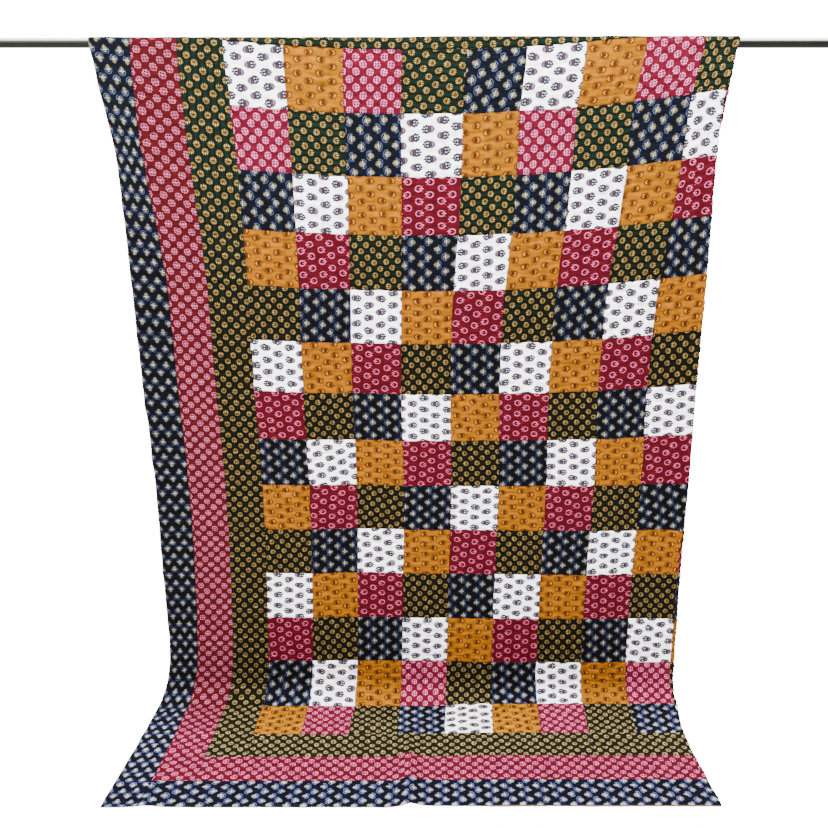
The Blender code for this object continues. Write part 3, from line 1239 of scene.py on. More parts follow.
@dataclass(frozen=True)
class PrintedCotton:
    """Finish of one printed cotton, quilted with running stitches."""

    design: Print
    cut: Cut
    weave: Weave = Weave()
    thread_colour: Colour = (0.16, 0.13, 0.10)
    thread_show: float = 0.10
    wobble: float = 0.0024
    wobble_scale: float = 330.0
    past_rim: float = 0.1
    streak_scale: Point = (16.0, 55.0, 1.0)
    streak_range: Range = (0.35, 0.65)
    wear_scale: float = 420.0
    wear_range: Range = (0.30, 0.60)
    grain_range: Range = (-0.1, 1.1)
    grain_tone: Range = (0.90, 1.05)
    # Painted shade and highlight of the puckers: the noise range, and the tones that darken and lighten
    # the colour.
    crinkle_range: Range = (0.30, 0.62)
    painted_pucker_light: Range = (0.70, 1.12)
    hollow_shade: float = 0.85
    rough_scale: float = 90.0
    rough_range: Range = (0.3, 0.7)
    roughness: Range = (0.80, 0.95)
    specular: float = 0.04

    def dye(self, graph: Graph, dye: Dye, low: Socket, lying: Socket) -> "Socket | Colour":
        """Give a dye's colour, drifting from tone to tone down the quilt.

        Args:
            graph: the material's nodes.
            dye: the dye.
            low: share of the lower tone.
            lying: share of the painted light tone on the floor.

        Returns:
            The colour.
        """
        colour = dye.upper
        if dye.lower is not None:
            colour = graph.blend(low, colour, dye.lower)
        if dye.lying is not None:
            colour = graph.blend(lying, colour, dye.lying)
        return colour

    def from_middle(self, graph: Graph, place: Socket, cell: Socket, pitch: float) -> Socket:
        """Measure how far a place lies from the middle of its cell, in millimetres."""
        inside = graph.number("SUBTRACT", graph.number("SUBTRACT", place, cell), 0.5)
        return graph.number("MULTIPLY", inside, pitch / MILLIMETRE)

    def motif_place(self, graph: Graph) -> Socket:
        """Find where a point lies in its motif, in millimetres, with x along the motif.

        Args:
            graph: the material's nodes.

        Returns:
            The place as a vector.
        """
        design = self.design
        printed = graph.uv("print")
        cloud = graph.noise(printed, self.wobble_scale, 1.0, "Color")
        shake = graph.vector("SUBTRACT", cloud, (0.5, 0.5, 0.5))
        shaken = graph.vector("ADD", printed, graph.vector("MULTIPLY", shake, (self.wobble,) * 3))
        x, y, _ = graph.parts(shaken)
        column_place = graph.number("DIVIDE", x, design.pitch[0])
        column = graph.number("FLOOR", column_place)
        odd = graph.number("FLOORED_MODULO", column, 2.0)
        staggered = graph.number("MULTIPLY", odd, 0.5)
        row_place = graph.number("ADD", graph.number("DIVIDE", y, design.pitch[1]), staggered)
        row = graph.number("FLOOR", row_place)
        in_x = self.from_middle(graph, column_place, column, design.pitch[0])
        in_y = self.from_middle(graph, row_place, row, design.pitch[1])
        way = graph.number("SUBTRACT", 1.0, graph.number("MULTIPLY", odd, 2.0))
        in_x = graph.number("MULTIPLY", in_x, way)
        shift_x, shift_y, swing = graph.parts(graph.cell_noise(graph.together(column, row)))
        jitter = (-design.jitter, design.jitter)
        in_x = graph.number("ADD", in_x, graph.spread(shift_x, (0.0, 1.0), jitter))
        in_y = graph.number("ADD", in_y, graph.spread(shift_y, (0.0, 1.0), jitter))
        most = math.radians(design.swing)
        turn = graph.spread(swing, (0.0, 1.0), (-most, most))
        rotate = graph.tree.nodes.new("ShaderNodeVectorRotate")
        rotate.rotation_type = "Z_AXIS"
        graph.join(rotate.inputs["Vector"], graph.together(in_x, in_y))
        graph.join(rotate.inputs["Angle"], turn)
        return rotate.outputs[0]

    def cover(self, graph: Graph, blot: Blot, place: Socket) -> Socket:
        """Tell how much of the ground one blot covers, from 0 to 1.

        Args:
            graph: the material's nodes.
            blot: the blot.
            place: where the point lies in its motif.

        Returns:
            The share.
        """
        moved = graph.vector("SUBTRACT", place, (*blot.middle, 0.0))
        unit = graph.vector("DIVIDE", moved, (*blot.radii, 1.0))
        reach = graph.vector("LENGTH", unit)
        if blot.petals:
            x, y, _ = graph.parts(unit)
            turn = graph.number("MULTIPLY", graph.number("ARCTAN2", y, x), float(blot.petals))
            notch = graph.spread(graph.number("COSINE", turn), (1.0, -1.0), (0.0, blot.petal_depth))
            reach = graph.number("ADD", reach, notch)
        rim = (1.0 + blot.soft, 1.0 - blot.soft)
        cover = graph.spread(reach, rim, (0.0, blot.strength), smooth=True)
        if blot.hole:
            rim = (blot.hole - blot.soft, blot.hole + blot.soft)
            cover = graph.number("MULTIPLY", cover, graph.spread(reach, rim, smooth=True))
        if blot.past is not None:
            x, _, _ = graph.parts(unit)
            rim = (blot.past - self.past_rim, blot.past + self.past_rim)
            cover = graph.number("MULTIPLY", cover, graph.spread(x, rim))
        return cover

    def printed(self, graph: Graph, cloth: Socket) -> Socket:
        """Print the motifs on the ground.

        Args:
            graph: the material's nodes.
            cloth: the cloth coordinates, in metres.

        Returns:
            The colour of the print.
        """
        design = self.design
        _, down, _ = graph.parts(cloth)
        low = graph.spread(down, design.lower_between, smooth=True)
        # Painted light: the part lying on the floor takes each dye's lit copy.
        lying = graph.spread(down, design.lying_between, smooth=True)
        streaks = graph.noise(graph.vector("MULTIPLY", cloth, self.streak_scale), 1.0, 3.0)
        mottle = graph.spread(streaks, self.streak_range, (1.0 - design.ground_mottle, 1.0))
        colour = graph.toned(self.dye(graph, design.ground, low, lying), mottle)
        place = self.motif_place(graph)
        faded = graph.noise(cloth, self.wear_scale)
        worn = graph.spread(faded, self.wear_range, (1.0 - design.wear, 1.0))
        for blot in design.motif:
            cover = graph.number("MULTIPLY", self.cover(graph, blot, place), worn)
            colour = graph.blend(cover, colour, self.dye(graph, blot.dye, low, lying))
        return colour

    def build(self) -> bpy.types.Material:
        """Make the material.

        Returns:
            The material.
        """
        weave = self.weave
        graph = Graph(self.design.title)
        cloth = graph.uv("cloth")
        threads = weave.threads(graph, cloth)
        crinkles = weave.crinkles(graph, cloth)
        stitches = weave.stitches(graph, cloth, self.cut.stitch_pitch)
        grain = graph.spread(threads, self.grain_range, self.grain_tone)
        # Painted shade and highlight: the colour darkens in the puckers' troughs and lightens on their
        # crests, from the same noise as their bump.
        pucker_shading = graph.spread(crinkles, self.crinkle_range, self.painted_pucker_light)
        colour = graph.toned(self.printed(graph, cloth), graph.number("MULTIPLY", grain, pucker_shading))
        shown = graph.number("MULTIPLY", stitches, self.thread_show)
        colour = graph.blend(shown, colour, self.thread_colour)
        # Painted shade: the base colour is darkened towards the print's shade colour in stitch rows,
        # seams and crinkle dips.
        depth = graph.spread(graph.attribute("painted_shade"), (0.0, 1.0), (0.0, self.hollow_shade))
        shaded = graph.blend(1.0, colour, self.design.shade_in_hollow, "MULTIPLY")
        graph.surface("Base Color", graph.blend(depth, colour, shaded))
        uneven = graph.noise(cloth, self.rough_scale, 3.0)
        graph.surface("Roughness", graph.spread(uneven, self.rough_range, self.roughness))
        graph.surface("Specular IOR Level", self.specular)
        puckers = graph.bump(crinkles, weave.crinkle_bump, weave.crinkle_height)
        graph.surface("Normal", weave.normal(graph, threads, stitches, puckers))
        return graph.material


@dataclass(frozen=True)
class PlainCotton:
    """Finish of the cream backing and of the hem that it is turned to, with a painted shadow line along
    the hem.
    """

    cut: Cut
    weave: Weave = Weave()
    colour: Colour = (0.80, 0.72, 0.47)
    shade: Colour = (0.52, 0.42, 0.26)
    thread_colour: Colour = (0.90, 0.86, 0.74)
    thread_show: float = 0.5
    painted_hem_shadow: Colour = (0.060, 0.038, 0.022)
    hem_shadow_from: Range = (0.75, 0.95)
    hem_shadow_strength: float = 0.95
    cloud_scale: float = 7.0
    cloud_range: Range = (0.3, 0.75)
    cloud_shade: float = 0.30
    grain_range: Range = (-0.1, 1.1)
    grain_tone: Range = (0.90, 1.04)
    hollow_shade: float = 0.7
    rough_scale: float = 80.0
    rough_range: Range = (0.3, 0.7)
    roughness: Range = (0.84, 0.97)
    specular: float = 0.05

    def build(self) -> bpy.types.Material:
        """Make the material.

        Returns:
            The material.
        """
        graph = Graph("cream cotton backing")
        cloth = graph.uv("cloth")
        painted_shade = graph.attribute("painted_shade")
        clouds = graph.noise(cloth, self.cloud_scale, 4.0)
        patchy = graph.spread(clouds, self.cloud_range, (0.0, self.cloud_shade))
        colour = graph.blend(patchy, self.colour, self.shade)
        threads = self.weave.threads(graph, cloth)
        colour = graph.toned(colour, graph.spread(threads, self.grain_range, self.grain_tone))
        stitches = self.weave.stitches(graph, cloth, self.cut.stitch_pitch)
        shown = graph.number("MULTIPLY", stitches, self.thread_show)
        colour = graph.blend(shown, colour, self.thread_colour)
        # Painted shade: the backing's stitch rows are darkened towards the shade colour.
        depth = graph.spread(painted_shade, (0.0, 1.0), (0.0, self.hollow_shade))
        colour = graph.blend(depth, colour, self.shade)
        # Painted shadow: the turned edge is darkened to a thin brown line, as cast along the hem.
        hem_shadow = graph.spread(painted_shade, self.hem_shadow_from, (0.0, self.hem_shadow_strength))
        graph.surface("Base Color", graph.blend(hem_shadow, colour, self.painted_hem_shadow))
        uneven = graph.noise(cloth, self.rough_scale, 3.0)
        graph.surface("Roughness", graph.spread(uneven, self.rough_range, self.roughness))
        graph.surface("Specular IOR Level", self.specular)
        graph.surface("Normal", self.weave.normal(graph, threads, stitches))
        return graph.material


@dataclass(frozen=True)
class DarkMetal:
    """Finish of the rod: dark drawn metal, with fine lines along it and a painted highlight along its
    top.
    """

    axis_height: float
    colour: Colour = (0.0040, 0.0042, 0.0026)
    worn: Colour = (0.0080, 0.0082, 0.0056)
    painted_highlight: Colour = (0.62, 0.62, 0.62)
    painted_highlight_from: float = 0.0018
    painted_highlight_to: float = 0.0094
    line_scale: Point = (6.0, 900.0, 900.0)
    line_height: float = 0.0002
    line_bump: float = 0.12
    cloud_scale: float = 14.0
    worn_range: Range = (0.45, 0.75)
    worn_share: float = 0.6
    rough_range: Range = (0.7, 1.3)
    roughness: Range = (0.34, 0.50)
    metallic: float = 0.15
    specular: float = 0.10

    def build(self) -> bpy.types.Material:
        """Make the material.

        Returns:
            The material.
        """
        graph = Graph("dark drawn metal")
        place = graph.tree.nodes.new("ShaderNodeTexCoord").outputs["Object"]
        lines = graph.noise(graph.vector("MULTIPLY", place, self.line_scale), 1.0, 4.0)
        clouds = graph.noise(place, self.cloud_scale, 4.0)
        worn = graph.spread(clouds, self.worn_range, (0.0, self.worn_share))
        colour = graph.blend(worn, self.colour, self.worn)
        # Painted highlight: a pale band is painted along the top of the rod, where the top lamp's
        # reflection lies.
        _, _, height = graph.parts(place)
        bright = (self.axis_height + self.painted_highlight_from, self.axis_height + self.painted_highlight_to)
        rise = graph.spread(height, bright, smooth=True)
        share = graph.number("MULTIPLY", rise, graph.spread(height, bright))
        graph.surface("Base Color", graph.blend(share, colour, self.painted_highlight))
        uneven = graph.number("ADD", lines, clouds)
        graph.surface("Roughness", graph.spread(uneven, self.rough_range, self.roughness))
        graph.surface("Metallic", self.metallic)
        graph.surface("Specular IOR Level", self.specular)
        graph.surface("Normal", graph.bump(lines, self.line_bump, self.line_height))
        return graph.material


# The sewn pieces


def four_corners(values: np.ndarray) -> tuple[np.ndarray, ...]:
    """Give the corners of every cell of a grid, down first, so that faces look outward."""
    return values[:-1, :-1], values[1:, :-1], values[1:, 1:], values[:-1, 1:]


def cell_corners(values: np.ndarray) -> np.ndarray:
    """Take values given at grid points to the four corners of every cell, in a new third axis."""
    return np.stack(four_corners(values), axis=2)


def down_all(lines: np.ndarray, count: int) -> np.ndarray:
    """Repeat a row of places across for each of a number of lines along."""
    return np.repeat(lines[None, :], count, axis=0)


@dataclass(frozen=True)
class Sheet:
    """A grid of cloth points that becomes one piece."""

    name: str
    across: np.ndarray
    along: np.ndarray

    @classmethod
    def cut_out(cls, name: str, across: np.ndarray, lines: np.ndarray) -> "Sheet":
        """Make a sheet of the places across on each line along the cloth."""
        return cls(name, across, np.repeat(lines[:, None], across.shape[1], axis=1))

    @property
    def cells(self) -> np.ndarray:
        """Point numbers of every cell's corners, one row for each cell."""
        number = np.arange(self.across.size).reshape(self.across.shape)
        return cell_corners(number).reshape(-1, 4)

    @property
    def corners(self) -> tuple[np.ndarray, np.ndarray]:
        """Places across and along of every cell's corners."""
        return cell_corners(self.across), cell_corners(self.along)


@dataclass(frozen=True)
class Grid:
    """The lines down and across the quilt that all its pieces share."""

    cut: Cut
    drape: Drape
    cells_in_patch: int = 24
    cells_at_fold: int = 60
    cells_in_border: int = 16
    rows_per_stitch_row: int = 5
    fold_spread: float = 0.010
    fold_weight: float = 26.0
    fold_reach: float = 3.0
    fold_steps: int = 1500
    seam_weight: float = 3.0
    seam_clear: float = 1.3
    seam_lines: tuple[float, ...] = (0.0016, 0.0040)
    hem_lines: tuple[float, ...] = (0.0005, 0.0014, 0.0028)

    def down(self, start: float, end: float, stitch_rows: int) -> np.ndarray:
        """Space lines evenly over a stretch of cloth, the last one left out."""
        return np.linspace(start, end, stitch_rows * self.rows_per_stitch_row, endpoint=False)

    def along(self) -> np.ndarray:
        """List the lines that run across the quilt, from its top edge to its bottom.

        Returns:
            The lines' places along the cloth.
        """
        cut = self.cut
        above = [cut.top + step * cut.border for step in range(cut.borders + 1)]
        below = [cut.field_end + step * cut.border for step in range(cut.borders + 1)]
        lines = [
            self.down(start, start + cut.border, cut.stitch_rows_in_border)
            for start in above[:-1] + below[:-1]
        ]
        lines.append(self.down(0.0, cut.field_end, cut.rows * cut.stitch_rows_in_patch))
        seams = above + [row * cut.patch for row in range(1, cut.rows)] + below
        near = self.seam_lines[0]
        beside = [seam + way * near for seam in seams[1:-1] for way in (-1, 1)]
        edges = [cut.top + inset for inset in self.hem_lines]
        edges += [cut.bottom - inset for inset in self.hem_lines]
        return np.unique(np.round(np.concatenate([*lines, beside, edges, [cut.bottom]]), DIGITS))

    def along_from(self, start: float, end: float) -> np.ndarray:
        """List the lines that run across the quilt from one place along to another."""
        every = self.along()
        return every[(every > start - HAIR) & (every < end + HAIR)]

    def between(self, start: float, end: float, cells: int) -> np.ndarray:
        """Space lines across one patch or strip, closer beside its two seams.

        Args:
            start: place across of its left seam.
            end: place across of its right seam.
            cells: how many even cells it has.

        Returns:
            The places across.
        """
        inner = np.linspace(start, end, cells + 1)[1:-1]
        clear = self.seam_lines[-1] * self.seam_clear
        inner = inner[(inner > start + clear) & (inner < end - clear)]
        near = [start + inset for inset in self.seam_lines] + [end - inset for inset in self.seam_lines]
        return np.sort(np.concatenate([[start], inner, near, [end]]))

    def folded(self, lines: np.ndarray, along: np.ndarray, cells: int) -> np.ndarray:
        """Draw the lines of one patch column together where the cloth folds back.

        Args:
            lines: first and last place across.
            along: the lines along the cloth.
            cells: how many cells the column gets.

        Returns:
            Places across, one row for each line along.
        """
        fine = np.linspace(lines[0], lines[-1], self.fold_steps)
        middle = self.drape.fold_start(along) + self.drape.fold_length / 2
        crowd = 1 + self.fold_weight * hill(fine[None, :] - middle[:, None], self.fold_spread)
        for seam in (lines[0], lines[-1]):
            crowd += self.seam_weight * hill(fine[None, :] - seam, self.seam_lines[-1])
        total = np.cumsum((crowd[:, 1:] + crowd[:, :-1]) / 2, axis=1)
        total = np.concatenate([np.zeros((len(along), 1)), total], axis=1)
        wanted = np.linspace(0.0, 1.0, cells + 1)
        return np.array([np.interp(wanted * run[-1], run, fine) for run in total])

    def patch_column(self, column: int, along: np.ndarray) -> np.ndarray:
        """Place the lines across one column of patches, for each line along the cloth.

        Args:
            column: number of the column, from the left.
            along: the lines along the cloth.

        Returns:
            Places across, one row for each line along.
        """
        start = self.cut.frame_width + column * self.cut.patch
        lines = self.between(start, start + self.cut.patch, self.cells_in_patch)
        fold = self.drape.fold_start(along)
        reach = self.fold_reach * self.fold_spread
        if ((fold > start - reach) & (fold < start + self.cut.patch + reach)).any():
            return self.folded(lines, along, self.cells_at_fold)
        return down_all(lines, len(along))

    def strip(self, start: float, along: np.ndarray) -> np.ndarray:
        """Place the lines across one border strip, for each line along the cloth."""
        lines = self.between(start, start + self.cut.border, self.cells_in_border)
        return down_all(lines, len(along))


@dataclass(frozen=True)
class Tailor:
    """Sews the pieces: turns grids of cloth points into meshes with their coordinate maps."""

    cut: Cut
    drape: Drape
    quilting: Quilting

    def lay(self, sheet: Sheet, height: np.ndarray) -> np.ndarray:
        """Lay a sheet in place, each point at its height over the cloth's inner side."""
        pulled_across, pulled_along = self.quilting.wandering(sheet.across, sheet.along)
        return self.drape.place(sheet.across + pulled_across, sheet.along + pulled_along, height)

    def printed_points(self, sheet: Sheet) -> tuple[np.ndarray, np.ndarray]:
        """Lay the printed side of a sheet in place, and tell how much painted shade each point gets in
        the grooves.
        """
        points = self.lay(sheet, self.quilting.height(sheet.across, sheet.along))
        return points, self.quilting.painted_shade(sheet.across, sheet.along)

    def mesh(
        self,
        sheet: Sheet,
        points: np.ndarray,
        painted_shade: np.ndarray,
        maps: dict[str, np.ndarray],
        slots: np.ndarray | None = None,
        inward: bool = False,
    ) -> bpy.types.Object:
        """Make the piece.

        Args:
            sheet: the grid of cloth points.
            points: where each of them stands.
            painted_shade: how much painted shade each point gets in the grooves.
            maps: coordinates of each cell's four corners, by the map's name.
            slots: number of each cell's material.
            inward: whether the faces look to the cloth's inner side.

        Returns:
            The piece.
        """
        way = -1 if inward else 1
        corner = sheet.cells[:, ::way]
        mesh = bpy.data.meshes.new(sheet.name)
        mesh.vertices.add(sheet.across.size)
        mesh.vertices.foreach_set("co", points.astype(np.float32).ravel())
        mesh.loops.add(corner.size)
        mesh.loops.foreach_set("vertex_index", corner.astype(np.int32).ravel())
        mesh.polygons.add(len(corner))
        mesh.polygons.foreach_set("loop_start", np.arange(0, corner.size, 4, dtype=np.int32))
        if slots is not None:
            mesh.polygons.foreach_set("material_index", slots.astype(np.int32).ravel())
        mesh.polygons.foreach_set("use_smooth", np.ones(len(corner), dtype=bool))
        mesh.update(calc_edges=True)
        for name, places in maps.items():
            layer = mesh.uv_layers.new(name=name)
            flat = places.reshape(len(corner), 4, 2)[:, ::way]
            layer.uv.foreach_set("vector", flat.astype(np.float32).ravel())
        # Each point keeps its share of painted shade for the materials to read.
        depth = mesh.attributes.new("painted_shade", "FLOAT", "POINT")
        depth.data.foreach_set("value", painted_shade.astype(np.float32).ravel())
        mesh.validate()
        return put_in_scene(sheet.name, mesh)

    def cloth_map(self, sheet: Sheet) -> np.ndarray:
        """Map cells to cloth coordinates, with quilting rows one stitch pitch apart everywhere."""
        level = self.cut.stitch_row(sheet.along) * self.cut.stitch_pitch
        return cell_corners(np.stack([sheet.across, level], axis=-1))


@dataclass
class Patchwork:
    """The field of printed patches, one piece for each column of patches."""

    tailor: Tailor
    grid: Grid
    cottons: dict[Fabric, bpy.types.Material]
    seed: int = 5
    tilt: float = 5.0
    atlas: int = 4
    cell_gap: float = 0.02

    def print_map(
        self, sheet: Sheet, patch_row: np.ndarray, column: int, draw: np.random.Generator
    ) -> np.ndarray:
        """Map cells to print coordinates, each patch cut from its own place of the cloth.

        Args:
            sheet: the grid of cloth points.
            patch_row: number of the patch that each cell belongs to.
            column: number of the column of patches.
            draw: where the cuts' places come from.

        Returns:
            Print coordinates of each cell's corners.
        """
        cut = self.tailor.cut
        places = draw.uniform(-0.5, 0.5, (cut.rows, 2))
        turns = np.radians(draw.normal(0.0, self.tilt, cut.rows))
        across, along = sheet.corners
        middle_across = cut.frame_width + (column + 0.5) * cut.patch
        middle_along = (patch_row + 0.5) * cut.patch
        x = across - middle_across
        y = middle_along[..., None] - along
        turn = turns[patch_row][..., None]
        moved = places[patch_row]
        u = x * np.cos(turn) - y * np.sin(turn) + moved[..., 0, None]
        v = x * np.sin(turn) + y * np.cos(turn) + moved[..., 1, None]
        return np.stack([u, v], axis=-1)

    def atlas_map(self, sheet: Sheet, patch_row: np.ndarray, column: int) -> np.ndarray:
        """Lay a column's patches side by side in one square, for the OFBake map.

        Args:
            sheet: the grid of cloth points.
            patch_row: number of the patch that each cell belongs to.
            column: number of the column of patches.

        Returns:
            Coordinates of each cell's corners.
        """
        cut = self.tailor.cut
        across, along = sheet.corners
        number = patch_row[..., None]
        share_x = (across - cut.frame_width - column * cut.patch) / cut.patch
        share_y = along / cut.patch - number
        keep = 1 - 2 * self.cell_gap
        u = (number % self.atlas + self.cell_gap + keep * share_x) / self.atlas
        v = (number // self.atlas + self.cell_gap + keep * share_y) / self.atlas
        return np.stack([u, v], axis=-1)

    def build(self) -> list[bpy.types.Object]:
        """Make every column of patches.

        Returns:
            The pieces.
        """
        cut = self.tailor.cut
        draw = np.random.default_rng(self.seed)
        along = self.grid.along_from(0.0, cut.field_end)
        fabrics = list(self.cottons)
        pieces = []
        for column in range(cut.columns):
            across = self.grid.patch_column(column, along)
            sheet = Sheet.cut_out(f"patch_column_{column + 1:02d}", across, along)
            middles = sum(four_corners(sheet.along)) / 4
            patch_row = np.clip((middles / cut.patch).astype(int), 0, cut.rows - 1)
            chosen = np.array([fabrics.index(Fabric.of_patch(row, column)) for row in range(cut.rows)])
            points, painted_shade = self.tailor.printed_points(sheet)
            maps = {
                "OFBake": self.atlas_map(sheet, patch_row, column),
                "cloth": self.tailor.cloth_map(sheet),
                "print": self.print_map(sheet, patch_row, column, draw),
            }
            piece = self.tailor.mesh(sheet, points, painted_shade, maps, chosen[patch_row])
            for fabric in fabrics:
                piece.data.materials.append(self.cottons[fabric])
            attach(piece, BODY)
            pieces.append(piece)
        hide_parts("patchwork_field")
        return pieces


class Side(Enum):
    """The four strips of a border."""

    LEFT = "left"
    RIGHT = "right"
    TOP = "top"
    BOTTOM = "bottom"

    @property
    def upright(self) -> bool:
        """Whether the strip runs down the quilt, with its print turned a quarter."""
        return self in (Side.LEFT, Side.RIGHT)


class Span(NamedTuple):
    """The cloth that a strip covers: first and last place across, and first and last place along."""

    left: float
    right: float
    top: float
    bottom: float


@dataclass
class Border:
    """One of the three borders: four strips of one cotton round what lies inside it."""

    tailor: Tailor
    grid: Grid
    colour: str
    inner: int
    cotton: bpy.types.Material
    first_seed: int = 20
    bars: int = 6
    bar_gap: float = 0.02

    def reach(self, side: Side) -> Span:
        """Tell which cloth a strip covers.

        Args:
            side: which strip.

        Returns:
            The cloth.
        """
        cut = self.tailor.cut
        outer = (self.inner + 1) * cut.border
        inner = self.inner * cut.border
        left, right, end = cut.frame_width, cut.field_right, cut.field_end
        return {
            Side.LEFT: Span(left - outer, left - inner, -outer, end + outer),
            Side.RIGHT: Span(right + inner, right + outer, -outer, end + outer),
            Side.TOP: Span(left - inner, right + inner, -outer, -inner),
            Side.BOTTOM: Span(left - inner, right + inner, end + inner, end + outer),
        }[side]

    def lines_across(self, side: Side, reach: Span, along: np.ndarray) -> np.ndarray:
        """Place the lines across a strip, the upright ones with more of them at the quilt's edge.

        Args:
            side: which strip.
            reach: the cloth that it covers.
            along: the lines along the cloth.

        Returns:
            Places across, one row for each line along.
        """
        if not side.upright:
            return self.lines_level(reach, along)
        lines = self.grid.between(reach.left, reach.right, self.grid.cells_in_border)
        if self.inner == self.tailor.cut.borders - 1:
            edge, way = (reach.left, 1) if side is Side.LEFT else (reach.right, -1)
            at_edge = [edge + way * inset for inset in self.grid.hem_lines]
            lines = np.unique(np.round([*lines, *at_edge], DIGITS))
        return down_all(lines, len(along))

    def lines_level(self, reach: Span, along: np.ndarray) -> np.ndarray:
        """Place the lines across a top or bottom strip: the same as in all that it borders.

        Args:
            reach: the cloth that it covers.
            along: the lines along the cloth.

        Returns:
            Places across, one row for each line along.
        """
        cut = self.tailor.cut
        steps = [step * cut.border for step in range(self.inner)]
        parts = [self.grid.strip(reach.left + step, along) for step in steps]
        parts += [self.grid.patch_column(column, along) for column in range(cut.columns)]
        parts += [self.grid.strip(cut.field_right + step, along) for step in steps]
        return np.concatenate([*(part[:, :-1] for part in parts), parts[-1][:, -1:]], axis=1)

    def bar_map(self, sheet: Sheet, side: Side, reach: Span) -> np.ndarray:
        """Cut a long strip in bars that fill one square, for the OFBake map.

        Args:
            sheet: the grid of cloth points.
            side: which strip.
            reach: the cloth that it covers.

        Returns:
            Coordinates of each cell's corners.
        """
        across, along = sheet.corners
        long, short = (along, across) if side.upright else (across, along)
        long_start, long_end = reach[2:] if side.upright else reach[:2]
        short_start, short_end = reach[:2] if side.upright else reach[2:]
        bar_length = (long_end - long_start) / self.bars
        middle = long.mean(axis=-1)
        bar = np.clip(((middle - long_start) / bar_length).astype(int), 0, self.bars - 1)[..., None]
        keep = 1 - 2 * self.bar_gap
        u = self.bar_gap + keep * (long - long_start - bar * bar_length) / bar_length
        v = (bar + self.bar_gap + keep * (short - short_start) / (short_end - short_start)) / self.bars
        return np.stack([u, v], axis=-1)

    def print_map(self, sheet: Sheet, side: Side, draw: np.random.Generator) -> np.ndarray:
        """Map cells to print coordinates, a quarter turned on the upright strips.

        Args:
            sheet: the grid of cloth points.
            side: which strip.
            draw: where the cut's place comes from.

        Returns:
            Coordinates of each cell's corners.
        """
        place = draw.uniform(-0.5, 0.5, 2)
        across, along = sheet.corners
        if side.upright:
            return np.stack([along + place[0], across + place[1]], axis=-1)
        return np.stack([across + place[0], place[1] - along], axis=-1)

    def build(self) -> list[bpy.types.Object]:
        """Make the four strips.

        Returns:
            The pieces.
        """
        draw = np.random.default_rng(self.first_seed + self.inner)
        pieces = []
        for side in Side:
            reach = self.reach(side)
            along = self.grid.along_from(reach.top, reach.bottom)
            across = self.lines_across(side, reach, along)
            sheet = Sheet.cut_out(f"{self.colour}_strip_{side.value}", across, along)
            points, painted_shade = self.tailor.printed_points(sheet)
            maps = {
                "OFBake": self.bar_map(sheet, side, reach),
                "cloth": self.tailor.cloth_map(sheet),
                "print": self.print_map(sheet, side, draw),
            }
            piece = self.tailor.mesh(sheet, points, painted_shade, maps)
            piece.data.materials.append(self.cotton)
            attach(piece, BODY)
            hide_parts(f"{self.colour}_border_{side.value}")
            pieces.append(piece)
        return pieces


